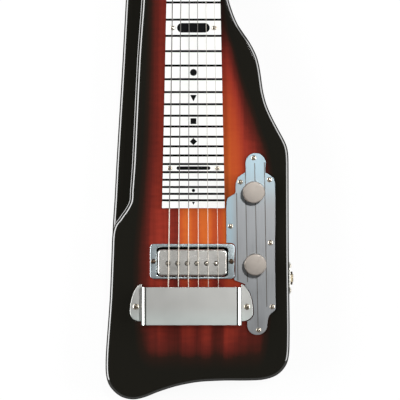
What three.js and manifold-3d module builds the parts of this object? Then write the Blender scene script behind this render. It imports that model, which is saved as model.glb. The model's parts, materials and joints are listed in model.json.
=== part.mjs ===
// Lap steel guitar with a stepped body, modelled in millimetres.
// +X is the treble side, +Y runs from the bridge to the headstock and +Z is up through the face.
// The origin lies on the back, below the middle of the strings at the saddle.

import * as THREE from 'three';
import { mergeVertices } from 'three/addons/utils/BufferGeometryUtils.js';
import Module from 'manifold-3d';

const wasm = await Module();
wasm.setup();

// Fits that all pieces share
const seatGap = 0.3; // a piece to the neighbour that it is cut for or rests against
const runningGap = 0.4; // a turning piece to what it turns in or beside
const cutOverrun = 2; // how far a cut passes the face that it opens

// Body
const scaleLength = 571.5; // front of the nut to the saddle
const bodyThickness = 38;
const stepHeight = 11; // the ledge and the headstock lie this far below the face
const edgeRadius = 3.5;
const trebleReach = 101; // string line to the treble side
const bassReach = 92.3; // string line to the bass side
const tailReach = 95.8; // saddle to the end of the tail
const bodyReach = 350; // saddle to where the body runs into the neck
const neckTrebleReach = 28.4; // the neck's treble edge at the nut
const neckBassReach = 38.6; // the foot of the step at the nut
const ledgeReach = 57.2; // the ledge's outer edge at the nut
const neckOverNut = 12; // the raised neck ends this far past the front of the nut

// Headstock
const headLength = 150; // front of the nut to the tip
const headThickness = 12;
const headTrebleReach = 42;
const headBassReach = 47;
const headFlareLength = 24;
const headArchRise = 27;
const headReliefSlope = 16; // length of the slope where the back rises to the headstock

// Fretboard
const fretboardThickness = 3;
const fretboardEndY = 105.2; // its end nearest the pickup
const fretboardNutWidth = 45.9;
const fretboardEndWidth = 65.8;
const fretLineWidth = 1.35;
const inlayDepth = 0.3;
const dotRadius = 3.7;
const lastDotRadius = 1.8;
const triangleWidth = 6.8;
const squareWidth = 6.1;
const diamondWidth = 7.6;
const lastTriangleWidth = 3;
const longMarkLength = 34.3; // at the twelfth position
const longMarkWidth = 10;
const thinMarkLength = 35.5; // at the twenty-fourth position
const thinMarkWidth = 3.8;
const fretboardScrewInset = 7; // from the board's edge to a screw's centre
const fretboardScrewUpperY = 294.1;
const fretboardScrewLowerY = 147;

// Strings
const nutSpread = 36.6; // outer string to outer string at the nut
const saddleSpread = 53;
const stringUnderside = 49.5; // height of the strings' lower side above the back
const stringGauges = [0.4, 0.5, 0.62, 0.78, 0.92, 1.07]; // diameters from the treble side
const windingTurns = 2;
const windingGap = 0.5; // between the turns on a post
const ballRadius = 1.9;
const ballLength = 3;

// Nut
const nutThickness = 5;
const nutRise = 1.2; // above the strings' lower side

// Bridge
const bridgePlateWidth = 76;
const bridgePlateFrontY = 9;
const bridgePlateBackY = -15.5;
const bridgePlateThickness = 2;
const anchorRailY = -8.5;
const anchorRailThickness = 4;
const anchorRailHeight = 9.5;
const anchorHoleHeight = 6.2; // above the bridge plate
const anchorHoleRadius = 1;
const saddleThickness = 6;
const saddleCrestRadius = 1.6;
const saddleWidth = 62;

// Bridge cover
const coverX = -2.05; // middle of the cover
const coverLength = 105.3;
const coverFrontY = 22.6;
const coverBackY = -17;
const coverTop = 57;
const coverWall = 1.2;
const coverCornerRadius = 4.5;
const coverFootReach = 11.9; // how far a foot stands out from the wall
const coverFootFrontY = 25.6;
const coverFootBackY = -13.6;
const coverFootWideY = -3.5; // where the foot is widest
const coverScrewY = 1.7;
const coverScrewInset = 5.6; // from the wall to the screw's centre

// Pickup
const pickupX = -1.15;
const pickupY = 48;
const ringLength = 88.6;
const ringWidth = 36.9;
const ringY = 49.3;
const ringThickness = 3;
const ringCornerRadius = 4;
const ringOpeningLength = 75.5;
const ringOpeningWidth = 31.4;
const ringScrewSpan = 81.7;
const pickupLength = 72.2;
const pickupWidth = 27.8;
const pickupCornerRadius = 4.5;
const pickupTop = 45;
const pickupWall = 1;
const pickupCavityDepth = 16;
const basePlateThickness = 1.5;
const magnetLength = 60;
const magnetWidth = 12;
const magnetThickness = 3.5;
const keeperLength = 58;
const keeperWidth = 6;
const keeperThickness = 3;
const poleSpacing = 10.1;
const poleY = 47.3;
const poleX = -1.4; // middle of the row of pole screws
const poleRadius = 1.5;
const poleHeadRadius = 2.1;
const poleHeadHeight = 0.9;
const bobbinLength = 66;
const bobbinWidth = 22;
const bobbinFlange = 1.5;
const bobbinCoreLength = 60;
const bobbinCoreWidth = 6;
const coilBuild = 4; // thickness of the winding round the core

// Control plate
const plateThickness = 1.5;
const plateLeft = 34.6;
const plateEdgeInset = 14.6; // from the treble side to the plate
const plateTop = 163;
const plateBottom = -27.9;
const plateGap = 0.8; // to the pickup ring and to the cover's foot
const plateLobeRadius = 10.6;
const topLobeShare = 0.589; // of the plate's width, to the middle of the lobe
const bottomLobeShare = 0.624;
const engravingWidth = 0.9;
const engravingDepth = 0.3;

// Volume and tone controls
const volumeShare = 0.345; // of the way from the pickup ring to the treble side
const volumeY = 121.7;
const toneShare = 0.374;
const toneY = 46.1;
const potRadius = 12;
const potHeight = 9;
const bushingRadius = 4.6;
const bushingHeight = 3.6; // above the control plate
const potNutRadius = 7;
const potNutThickness = 2;
const shaftRadius = 3;
const shaftLength = 20;
const knobRadius = 11.45;
const knobHeight = 15;
const knobEdge = 1.4;
const knobGrip = 11; // how far the shaft enters the knob
const potClearance = 2.5; // round a potentiometer in its cavity
const controlCavityDepth = 22;
const channelRadius = 3;

// Output jack
const jackY = 31.3;
const jackHeight = 19;
const jackPlateLength = 34;
const jackPlateWidth = 16;
const jackPlateThickness = 2;
const jackSeatDepth = 0.8; // the flat for the jack plate lies this far inside the treble side
const jackSleeveRadius = 4.6;
const jackBoreRadius = 3.4;
const jackSleeveDepth = 16; // behind the plate
const jackShoulderRadius = 8;
const jackShoulderThickness = 2;
const jackNutFlats = 12;
const jackNutThickness = 2.2;
const jackNose = 0.8; // the sleeve stands this far out of its nut
const jackHoleRadius = 9.2;
const jackSpringLength = 20;
const jackSpringWidth = 5;
const jackSpringThickness = 0.8;
const jackScrewSpan = 26;

// Screws: radius and height of the head, radius and length of the shank
const plateScrew = { head: 2.8, dome: 1.2, shank: 1.4, length: 12 };
const fretboardScrew = { head: 2.35, dome: 1, shank: 1.2, length: 12 };
const ringScrew = { head: 2.7, dome: 1.2, shank: 1.4, length: 12 };
const coverScrew = { head: 3.25, dome: 1.4, shank: 1.6, length: 12 };
const jackScrew = { head: 2.5, dome: 1.1, shank: 1.3, length: 10 };
const domeShoulderShare = 0.85; // of the dome's height, half way out
const domeRimShare = 0.25;

// Tuners
const tunerSpacing = 38;
const firstTunerY = 38; // past the front of the nut
const postInset = 15; // from the headstock's edge to a post's centre
const postRadius = 3;
const postWaistRadius = 2.6;
const postRise = 13; // above the headstock's face
const postCapHeight = 3;
const postFootRise = 2.4; // the post is thick up to here above the face
const gearRadius = 5.6;
const gearThickness = 4;
const gearScrewRadius = 2.4;
const gearScrewHeight = 1.4;
const wormRadius = 2.6;
const wormShaftRadius = 1.5;
const wormHeight = 9.8; // the worm's axis above the back
const tunerPlateInner = 8; // from a post's centre towards the string line
const tunerPlateOuter = 12;
const tunerPlateEnd = 13;
const tunerPlateThickness = 1.2;
const bearingOffset = 6; // from the post's centre to a bearing's inner side
const bearingThickness = 1.2;
const bearingWidth = 6.4;
const bearingFoot = 3.1; // below the worm's axis
const buttonClearance = 5; // between the headstock's edge and a button
const buttonLength = 14;
const buttonRadius = 7.4;
const buttonThickness = 7.5;
const buttonEdge = 2;

// Counts
const stringCount = stringGauges.length;
const fretCount = 28;
const fretsPerOctave = 12;
const sideTuners = stringCount / 2;
const roundSides = 20;
const knobSides = 28;
const smallSides = 10;
const holeSides = 6;
const tubeSides = 6;
const turnSteps = 24;
const bevelSteps = 2;
const cornerSteps = 4;
const lobeSteps = 10;

// Heights and places that follow
const ledgeTop = bodyThickness - stepHeight;
const neckEndY = scaleLength + neckOverNut;
const headBack = ledgeTop - headThickness;
const headTipY = scaleLength + headLength;
const boardTop = bodyThickness + fretboardThickness;
const crestHeight = stringUnderside - seatGap;
const bridgePlateTop = bodyThickness + bridgePlateThickness;
const plateFace = bodyThickness + plateThickness;
const pickupFloor = bodyThickness - pickupCavityDepth;
const coverLeft = coverX - coverLength / 2;
const coverRight = coverX + coverLength / 2;
const plateRight = trebleReach - plateEdgeInset;
const ringRight = pickupX + ringLength / 2;
const volumeX = ringRight + volumeShare * (trebleReach - ringRight);
const toneX = ringRight + toneShare * (trebleReach - ringRight);
const jackSeatReach = trebleReach - jackSeatDepth;

// The body's edge from the neck down the treble side, round the tail and up to where the ledge
// begins, as shares of the four reaches.
const edgeShares = [
  [0.328, 0.994], [0.35, 0.946], [0.394, 0.899], [0.463, 0.851], [0.574, 0.803], [0.659, 0.755],
  [0.697, 0.707], [0.72, 0.659], [0.761, 0.611], [0.835, 0.563], [0.924, 0.515], [0.964, 0.491],
  [0.984, 0.467], [0.99, 0.419], [0.993, 0.18], [1, 0.012], [1, -0.394], [0.992, -0.525],
  [0.969, -0.613], [0.908, -0.7], [0.822, -0.756], [0.685, -0.788], [0.364, -0.793],
  [0.115, -0.803], [-0.01, -0.818], [-0.215, -0.86], [-0.419, -0.924], [-0.556, -0.976],
  [-0.691, -1], [-0.828, -0.967], [-0.937, -0.876], [-0.982, -0.788], [-1, -0.657],
  [-0.99, -0.394], [-0.954, 0.024], [-0.927, 0.204], [-0.92, 0.249],
];
// From there up the ledge's outer edge, and up the foot of the step beside it.
const ledgeShares = [[-0.92, 0.249], [-0.902, 0.323], [-0.878, 0.443], [-0.81, 0.743], [-0.777, 0.907]];
const stepShares = [
  [-0.92, 0.249], [-0.853, 0.263], [-0.81, 0.279], [-0.771, 0.293], [-0.717, 0.321],
  [-0.709, 0.349], [-0.684, 0.443], [-0.629, 0.743], [-0.584, 0.907],
];
const archPeakShare = 0.75; // a cubic arch rises to this share of its handles

// Position marks: fret, kind and size
const dots = [[3, dotRadius], [15, dotRadius], [27, lastDotRadius]];
const triangles = [[5, triangleWidth], [17, triangleWidth], [29, lastTriangleWidth]];
const squares = [[7, squareWidth], [19, squareWidth]];
const diamonds = [[9, diamondWidth], [21, diamondWidth]];
const longMarkFret = 12;
const thinMarkFret = 24;
const markFacets = 12;

// The control plate's edge as shares of its box, clockwise from the top lobe to the bottom lobe
// and back up the side nearest the strings.
const plateTrebleShares = [
  [0.787, 0.9], [0.79, 0.893], [0.86, 0.883], [0.95, 0.865], [0.983, 0.836], [0.99, 0.65],
  [0.983, 0.443], [0.997, 0.16], [1, 0.155], [0.995, 0.143], [0.97, 0.132], [0.885, 0.112],
  [0.845, 0.09],
];
const plateStringShares = [
  [0.42, 0.07], [0.3, 0.1], [0.3, 0.25], [0.38, 0.279], [0.275, 0.289], [0.165, 0.3],
  [0, 0.42], [0, 0.731], [0.03, 0.755], [0.16, 0.776], [0.183, 0.785], [0.188, 0.832],
  [0.235, 0.868], [0.385, 0.896], [0.39, 0.9],
];
const bottomLobeStartShare = 0.01; // of a turn past the lobe's treble side
const plateWidth = plateRight - plateLeft;
const topLobe = [plateLeft + topLobeShare * plateWidth, plateTop - plateLobeRadius];
const bottomLobe = [plateLeft + bottomLobeShare * plateWidth, plateBottom + plateLobeRadius];
// The four engraved lines as shares of the plate's box: top end and bottom end.
const engravingShares = [
  [[0.205, 0.78], [0.232, 0.3]],
  [[0.382, 0.895], [0.427, 0.29]],
  [[0.571, 0.945], [0.641, 0.045]],
  [[0.768, 0.95], [0.819, 0.155]],
];
const plateScrewShares = [
  [0.554, 0.973], [0.28, 0.841], [0.871, 0.853], [0.083, 0.598], [0.892, 0.507],
  [0.929, 0.155], [0.653, 0.027],
];

// Shape helpers

function toSolid(geometry) {
  const bare = geometry.clone();
  bare.deleteAttribute('normal');
  bare.deleteAttribute('uv');
  const merged = mergeVertices(bare);
  const index = merged.index.array;
  const corners = [];
  for (let i = 0; i < index.length; i += 3) {
    const [a, b, c] = [index[i], index[i + 1], index[i + 2]];
    if (a !== b && b !== c && c !== a) corners.push(a, b, c);
  }
  return new wasm.Manifold(new wasm.Mesh({
    numProp: 3,
    vertProperties: new Float32Array(merged.attributes.position.array),
    triVerts: new Uint32Array(corners),
  }));
}

function toGeometry(solid) {
  const { vertProperties, triVerts } = solid.getMesh();
  const geometry = new THREE.BufferGeometry();
  geometry.setAttribute('position', new THREE.BufferAttribute(vertProperties, 3));
  geometry.setIndex(new THREE.BufferAttribute(triVerts, 1));
  geometry.computeVertexNormals();
  return geometry;
}

function cut(geometry, tools) {
  let solid = toSolid(geometry);
  for (const tool of tools) solid = solid.subtract(toSolid(tool));
  return toGeometry(solid);
}

function join(geometries) {
  let solid = toSolid(geometries[0]);
  for (const other of geometries.slice(1)) solid = solid.add(toSolid(other));
  return toGeometry(solid);
}

function block([x0, x1], [y0, y1], [z0, z1]) {
  const geometry = new THREE.BoxGeometry(x1 - x0, y1 - y0, z1 - z0);
  return geometry.translate((x0 + x1) / 2, (y0 + y1) / 2, (z0 + z1) / 2);
}

// An outline drawn in XY, raised from z0 to z1.
function upright(shape, z0, z1, curveSegments = cornerSteps) {
  const geometry = new THREE.ExtrudeGeometry(shape, {
    depth: z1 - z0, bevelEnabled: false, curveSegments,
  });
  return geometry.translate(0, 0, z0);
}

// The same with its upper and lower edges rounded inwards.
function rounded(shape, z0, z1, radius, bevelSegments = 1) {
  const geometry = new THREE.ExtrudeGeometry(shape, {
    depth: z1 - z0 - 2 * radius,
    bevelThickness: radius,
    bevelSize: radius,
    bevelOffset: -radius,
    bevelSegments,
    curveSegments: cornerSteps,
  });
  return geometry.translate(0, 0, z0 + radius);
}

function rod(radius, z0, z1, sides) {
  const geometry = new THREE.CylinderGeometry(radius, radius, z1 - z0, sides);
  return geometry.rotateX(Math.PI / 2).translate(0, 0, (z0 + z1) / 2);
}

// A hole's facets stay outside the round piece that passes through it.
function hole(radius, z0, z1, sides) {
  return rod(radius / Math.cos(Math.PI / sides), z0, z1, sides);
}

// A profile of [radius, height] pairs from top to bottom, turned round Z.
function turned(profile, sides) {
  const points = profile.map(([radius, height]) => new THREE.Vector2(radius, height)).reverse();
  return new THREE.LatheGeometry(points, sides).rotateX(Math.PI / 2);
}

function alongX(geometry) {
  return geometry.rotateY(Math.PI / 2);
}

function alongY(geometry) {
  return geometry.rotateX(-Math.PI / 2);
}

function outline(points) {
  return new THREE.Shape(points.map(([x, y]) => new THREE.Vector2(x, y)));
}

function roundedBox(length, width, radius, x, y) {
  const [a, b] = [length / 2 - radius, width / 2 - radius];
  const shape = new THREE.Shape();
  shape.absarc(x + a, y + b, radius, 0, Math.PI / 2);
  shape.absarc(x - a, y + b, radius, Math.PI / 2, Math.PI);
  shape.absarc(x - a, y - b, radius, Math.PI, 1.5 * Math.PI);
  shape.absarc(x + a, y - b, radius, 1.5 * Math.PI, 2 * Math.PI);
  return shape;
}

function smoothLine(points, stepsPerSpan) {
  const guides = points.map(([x, y]) => new THREE.Vector3(x, y, 0));
  const curve = new THREE.CatmullRomCurve3(guides, false, 'centripetal');
  return curve.getPoints((points.length - 1) * stepsPerSpan).map((p) => [p.x, p.y]);
}

function bezier(points, steps) {
  const corners = points.map(([x, y]) => new THREE.Vector2(x, y));
  return new THREE.CubicBezierCurve(...corners).getPoints(steps).map((p) => [p.x, p.y]);
}

function material(color, roughness, metalness) {
  return new THREE.MeshStandardMaterial({ color, roughness, metalness });
}

const guitar = new THREE.Group();

function add(name, geometry, finish, parent = guitar) {
  const mesh = new THREE.Mesh(geometry, finish);
  mesh.name = name;
  parent.add(mesh);
  return mesh;
}

function chrome() {
  return material(0xb9bfc2, 0.12, 1);
}

function nickel() {
  return material(0xc9c2b4, 0.35, 1);
}

function steel() {
  return material(0xa9adb0, 0.3, 1);
}

// Places that several pieces share

const plateScrewPlaces = plateScrewShares.map(platePoint);
const ringScrewPlaces = [[pickupX - ringScrewSpan / 2, ringY], [pickupX + ringScrewSpan / 2, ringY]];
const coverScrewPlaces = [
  [coverLeft - coverScrewInset, coverScrewY],
  [coverRight + coverScrewInset, coverScrewY],
];
const fretboardScrewPlaces = [fretboardScrewUpperY, fretboardScrewLowerY].flatMap((y) => {
  const reach = boardHalfWidth(y) - fretboardScrewInset;
  return [[-reach, y], [reach, y]];
});
const controlPlaces = [[volumeX, volumeY], [toneX, toneY]];
const poleXs = centredRow(stringCount, poleSpacing).map((x) => poleX + x);

function centredRow(count, spacing) {
  return Array.from({ length: count }, (_, i) => (i - (count - 1) / 2) * spacing);
}

function boardHalfWidth(y) {
  const along = (scaleLength - y) / (scaleLength - fretboardEndY);
  return (fretboardNutWidth + along * (fretboardEndWidth - fretboardNutWidth)) / 2;
}

function fretY(fret) {
  return scaleLength * 2 ** (-fret / fretsPerOctave);
}

// The middle of the space that ends at the fret's line.
function markY(fret) {
  return (fretY(fret - 1) + fretY(fret)) / 2;
}

// Body

function edgePoint([xShare, yShare]) {
  return [
    xShare * (xShare > 0 ? trebleReach : bassReach),
    yShare * (yShare > 0 ? bodyReach : tailReach),
  ];
}

function swing(from, to) {
  const middle = (from[1] + to[1]) / 2;
  return bezier([from, [from[0], middle], [to[0], middle], to], cornerSteps);
}

function headOutline() {
  const flareEndY = neckEndY + headFlareLength;
  const shoulderY = headTipY - headArchRise;
  const handleY = shoulderY + headArchRise / archPeakShare;
  return [
    ...swing([-ledgeReach, neckEndY], [-headBassReach, flareEndY]),
    ...bezier([
      [-headBassReach, shoulderY], [-headBassReach, handleY],
      [headTrebleReach, handleY], [headTrebleReach, shoulderY],
    ], lobeSteps),
    ...swing([headTrebleReach, flareEndY], [neckTrebleReach, neckEndY]),
  ];
}

function bodyBlank() {
  const edge = smoothLine(edgeShares.map(edgePoint), 2);
  const ledge = smoothLine(ledgeShares.map(edgePoint), 2).slice(1);
  const step = smoothLine(stepShares.map(edgePoint), 2).slice(1);
  const low = outline([[neckTrebleReach, scaleLength], ...edge, ...ledge, ...headOutline()]);
  const high = outline([
    [neckTrebleReach, neckEndY], [neckTrebleReach, scaleLength], ...edge, ...step,
    [-neckBassReach, scaleLength], [-neckBassReach, neckEndY],
  ]);
  return join([
    rounded(low, 0, ledgeTop, edgeRadius, bevelSteps),
    rounded(high, ledgeTop / 2, bodyThickness, edgeRadius, bevelSteps),
  ]);
}

// The headstock's back, cut away up to its thickness behind a slope.
function headRelief() {
  const slopeY = neckEndY - headReliefSlope / 2;
  const reach = ledgeReach + cutOverrun;
  const drop = cutOverrun * (headReliefSlope / headBack);
  const side = outline([
    [slopeY - drop, -cutOverrun], [slopeY + headReliefSlope, headBack],
    [headTipY + cutOverrun, headBack], [headTipY + cutOverrun, -cutOverrun],
  ]);
  const wedge = new THREE.ExtrudeGeometry(side, { depth: 2 * reach, bevelEnabled: false });
  return wedge.rotateX(Math.PI / 2).rotateZ(Math.PI / 2).translate(-reach, 0, 0);
}

function pilotHoles(places, screw, top) {
  return places.map(([x, y]) => {
    const depth = screw.length + seatGap;
    return hole(screw.shank + seatGap, top - depth, top + cutOverrun, holeSides).translate(x, y, 0);
  });
}

function jackPilotHoles() {
  return jackScrewPlaces().map(([y, z]) => {
    const depth = jackScrew.length - jackPlateThickness + seatGap;
    const pilot = hole(jackScrew.shank + seatGap, -depth, cutOverrun, holeSides);
    return alongX(pilot).translate(jackSeatReach, y, z);
  });
}

function tunerPlaces() {
  const ys = Array.from({ length: sideTuners }, (_, i) => scaleLength + firstTunerY + i * tunerSpacing);
  const treble = ys.map((y) => [headTrebleReach - postInset, y]);
  const bass = ys.map((y) => [postInset - headBassReach, y]).reverse();
  return [...treble, ...bass];
}

function makeBody() {
  const pickupHole = roundedBox(
    ringOpeningLength, ringOpeningWidth, ringCornerRadius, pickupX, ringY,
  );
  const cavities = controlPlaces.map(([x, y]) => rod(
    potRadius + potClearance, bodyThickness - controlCavityDepth, bodyThickness + cutOverrun, roundSides,
  ).translate(x, y, 0));
  const channelHeight = bodyThickness - controlCavityDepth + channelRadius;
  const controlChannel = alongY(rod(channelRadius, toneY, volumeY, holeSides))
    .translate((volumeX + toneX) / 2, 0, channelHeight);
  const pickupChannel = alongX(rod(channelRadius, pickupX, toneX, holeSides))
    .translate(0, toneY, pickupFloor + channelRadius);
  const jackHole = alongX(hole(jackHoleRadius, toneX, jackSeatReach + cutOverrun, roundSides))
    .translate(0, jackY, jackHeight);
  const jackSeat = block(
    [jackSeatReach, trebleReach + cutOverrun],
    [jackY - jackPlateLength / 2 - seatGap, jackY + jackPlateLength / 2 + seatGap],
    [jackHeight - jackPlateWidth / 2 - seatGap, jackHeight + jackPlateWidth / 2 + seatGap],
  );
  const postHoles = tunerPlaces().map(([x, y]) => hole(
    postRadius + runningGap, headBack - cutOverrun, ledgeTop + cutOverrun, holeSides,
  ).translate(x, y, 0));
  add('body', cut(bodyBlank(), [
    headRelief(),
    upright(pickupHole, pickupFloor, bodyThickness + cutOverrun),
    ...cavities, controlChannel, pickupChannel, jackHole, jackSeat, ...postHoles,
    ...pilotHoles(plateScrewPlaces, plateScrew, bodyThickness),
    ...pilotHoles(ringScrewPlaces, ringScrew, bodyThickness),
    ...pilotHoles(coverScrewPlaces, coverScrew, bodyThickness),
    ...pilotHoles(fretboardScrewPlaces, fretboardScrew, bodyThickness),
    ...jackPilotHoles(),
  ]), material(0x5a1f16, 0.25, 0));
}

// Fretboard and nut

function mark(shape) {
  return upright(shape, boardTop - inlayDepth, boardTop + cutOverrun);
}

function fretLines() {
  const reach = fretboardEndWidth / 2 + cutOverrun;
  return Array.from({ length: fretCount }, (_, i) => {
    const y = fretY(i + 1);
    const line = [y - fretLineWidth / 2, y + fretLineWidth / 2];
    return block([-reach, reach], line, [boardTop - inlayDepth, boardTop + cutOverrun]);
  });
}

function positionMarks() {
  const marks = dots.map(([fret, radius]) => rod(
    radius, boardTop - inlayDepth, boardTop + cutOverrun, markFacets,
  ).translate(0, markY(fret), 0));
  for (const [fret, width] of triangles) {
    const [half, y] = [width / 2, markY(fret)];
    marks.push(mark(outline([[-half, y + half], [half, y + half], [0, y - half]])));
  }
  for (const [fret, width] of squares) {
    const [half, y] = [width / 2, markY(fret)];
    marks.push(mark(outline([[half, y + half], [-half, y + half], [-half, y - half], [half, y - half]])));
  }
  for (const [fret, width] of diamonds) {
    const [half, y] = [width / 2, markY(fret)];
    marks.push(mark(outline([[half, y], [0, y + half], [-half, y], [0, y - half]])));
  }
  const longEnd = longMarkWidth / 2;
  marks.push(mark(roundedBox(longMarkLength, longMarkWidth, longEnd, 0, markY(longMarkFret))));
  const thinEnd = thinMarkWidth / 2;
  marks.push(mark(roundedBox(thinMarkLength, thinMarkWidth, thinEnd, 0, markY(thinMarkFret))));
  return marks;
}

function makeFretboard() {
  const [wide, narrow] = [fretboardEndWidth / 2, fretboardNutWidth / 2];
  const board = upright(outline([
    [-wide, fretboardEndY], [wide, fretboardEndY], [narrow, scaleLength], [-narrow, scaleLength],
  ]), bodyThickness, boardTop);
  const screwHoles = fretboardScrewPlaces.map(([x, y]) => hole(
    fretboardScrew.shank + seatGap, bodyThickness - cutOverrun, boardTop + cutOverrun, holeSides,
  ).translate(x, y, 0));
  add('fretboard', cut(board, [...fretLines(), ...positionMarks(), ...screwHoles]),
    material(0xf2f2ee, 0.35, 0));
}

function makeNut() {
  const half = fretboardNutWidth / 2;
  const ends = [scaleLength, scaleLength + nutThickness];
  const bar = block([-half, half], ends, [bodyThickness, stringUnderside + nutRise]);
  const slots = stringXs(nutSpread).map((x, i) => {
    const reach = stringGauges[i] / 2 + seatGap;
    const along = [ends[0] - cutOverrun, ends[1] + cutOverrun];
    return block([x - reach, x + reach], along, [crestHeight, stringUnderside + nutRise + cutOverrun]);
  });
  add('nut', cut(bar, slots), material(0xe8e4d8, 0.4, 0));
}

// Strings, numbered from the treble side

function stringXs(spread) {
  return centredRow(stringCount, spread / (stringCount - 1)).reverse();
}

// A closed tube through the points, with a radius at each.
function tube(points, radii) {
  const directions = points.map((_, i) => {
    const before = points[Math.max(i - 1, 0)];
    const after = points[Math.min(i + 1, points.length - 1)];
    const arriving = points[i].clone().sub(before).normalize();
    const leaving = after.clone().sub(points[i]).normalize();
    return arriving.add(leaving).normalize();
  });
  const side = new THREE.Vector3(1, 0, 0);
  const positions = [];
  points.forEach((point, i) => {
    side.addScaledVector(directions[i], -side.dot(directions[i])).normalize();
    const up = directions[i].clone().cross(side);
    for (let k = 0; k < tubeSides; k += 1) {
      const angle = (2 * Math.PI * k) / tubeSides;
      const spot = point.clone()
        .addScaledVector(side, radii[i] * Math.cos(angle))
        .addScaledVector(up, radii[i] * Math.sin(angle));
      positions.push(...spot.toArray());
    }
  });
  positions.push(...points[0].toArray(), ...points[points.length - 1].toArray());
  const [firstCap, lastCap] = [points.length * tubeSides, points.length * tubeSides + 1];
  const lastRing = (points.length - 1) * tubeSides;
  const index = [];
  for (let k = 0; k < tubeSides; k += 1) {
    const next = (k + 1) % tubeSides;
    for (let ring = 0; ring < lastRing; ring += tubeSides) {
      const [a, b] = [ring + k, ring + next];
      index.push(a, b, b + tubeSides, a, b + tubeSides, a + tubeSides);
    }
    index.push(firstCap, next, k, lastCap, lastRing + k, lastRing + next);
  }
  const geometry = new THREE.BufferGeometry();
  geometry.setAttribute('position', new THREE.Float32BufferAttribute(positions, 3));
  geometry.setIndex(index);
  geometry.computeVertexNormals();
  return geometry;
}

// The string meets the side of the post that faces the string line, and winds down from there.
function winding(from, post, gauge) {
  const outward = Math.sign(post.x);
  const radius = postWaistRadius + runningGap + gauge / 2;
  const reach = new THREE.Vector2(post.x - from.x, post.y - from.y);
  const lean = Math.asin(radius / reach.length());
  const heading = Math.atan2(reach.y, reach.x) + outward * lean;
  const start = heading + outward * (Math.PI / 2);
  const top = ledgeTop + postFootRise + windingTurns * (gauge + windingGap) + gauge;
  return Array.from({ length: windingTurns * turnSteps + 1 }, (_, i) => {
    const angle = start - outward * ((2 * Math.PI * i) / turnSteps);
    return new THREE.Vector3(
      post.x + radius * Math.cos(angle),
      post.y + radius * Math.sin(angle),
      top - (i / turnSteps) * (gauge + windingGap),
    );
  });
}

function leastGap(points, gauge) {
  let least = Infinity;
  for (let i = 0; i < points.length; i += 1) {
    for (let j = i + turnSteps / 2; j < points.length; j += 1) {
      least = Math.min(least, points[i].distanceTo(points[j]) - gauge);
    }
  }
  return least;
}

function makeStrings() {
  const saddleXs = stringXs(saddleSpread);
  const nutXs = stringXs(nutSpread);
  const posts = tunerPlaces();
  const railBack = anchorRailY - anchorRailThickness / 2;
  const railFront = anchorRailY + anchorRailThickness / 2;
  const anchorZ = bridgePlateTop + anchorHoleHeight;
  stringGauges.forEach((gauge, i) => {
    const radius = gauge / 2;
    const lineZ = stringUnderside + radius;
    const x = saddleXs[i];
    const behindNut = new THREE.Vector3(nutXs[i], scaleLength + nutThickness + seatGap, lineZ);
    const coil = winding(behindNut, new THREE.Vector2(...posts[i]), gauge);
    const ballFront = railBack - seatGap;
    const points = [
      new THREE.Vector3(x, ballFront - ballLength, anchorZ),
      new THREE.Vector3(x, ballFront - seatGap, anchorZ),
      new THREE.Vector3(x, ballFront, anchorZ),
      new THREE.Vector3(x, railFront + seatGap, anchorZ),
      new THREE.Vector3(x, 0, lineZ),
      new THREE.Vector3(nutXs[i], scaleLength, lineZ),
      behindNut,
      ...coil,
    ];
    const radii = points.map((_, k) => (k < 2 ? ballRadius : radius));
    add(`string_${i + 1}`, tube(points, radii), steel());
    console.log(`string_${i + 1}: least gap between turns ${leastGap(coil, gauge).toFixed(2)} mm`);
  });
}

// Bridge

function makeBridge() {
  const half = bridgePlateWidth / 2;
  const base = block([-half, half], [bridgePlateBackY, bridgePlateFrontY], [bodyThickness, bridgePlateTop]);
  const rail = block(
    [-half, half],
    [anchorRailY - anchorRailThickness / 2, anchorRailY + anchorRailThickness / 2],
    [bridgePlateTop - bridgePlateThickness / 2, bridgePlateTop + anchorRailHeight],
  );
  const holes = stringXs(saddleSpread).map((x) => {
    const reach = anchorRailThickness / 2 + cutOverrun;
    const drill = alongY(hole(anchorHoleRadius, -reach, reach, holeSides));
    return drill.translate(x, anchorRailY, bridgePlateTop + anchorHoleHeight);
  });
  add('bridge_plate', cut(join([base, rail]), holes), steel());

  const foot = saddleThickness / 2;
  const crest = crestHeight - bridgePlateTop;
  const shoulder = crest - saddleCrestRadius;
  const profile = new THREE.Shape();
  profile.moveTo(foot, 0);
  profile.lineTo(saddleCrestRadius, shoulder);
  profile.absarc(0, shoulder, saddleCrestRadius, 0, Math.PI);
  profile.lineTo(-foot, 0);
  const bar = new THREE.ExtrudeGeometry(profile, {
    depth: saddleWidth, bevelEnabled: false, curveSegments: cornerSteps,
  });
  bar.rotateX(Math.PI / 2).rotateZ(Math.PI / 2).translate(-saddleWidth / 2, 0, bridgePlateTop);
  add('bridge_saddle', bar, steel());
}

// Bridge cover

function footOutline(side, margin) {
  const wall = (side < 0 ? coverLeft : coverRight) - side * (coverWall + margin);
  const tip = (side < 0 ? coverLeft : coverRight) + side * (coverFootReach + margin);
  const front = coverFootFrontY + margin;
  const back = coverFootBackY - margin;
  const shape = new THREE.Shape();
  shape.moveTo(wall, front);
  shape.bezierCurveTo(
    (wall + tip) / 2, front, tip, (front + coverFootWideY) / 2, tip, coverFootWideY,
  );
  shape.quadraticCurveTo(tip, back, wall, back);
  return shape;
}

function coverFoot(side) {
  return upright(footOutline(side, 0), bodyThickness, bodyThickness + coverWall);
}

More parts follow.
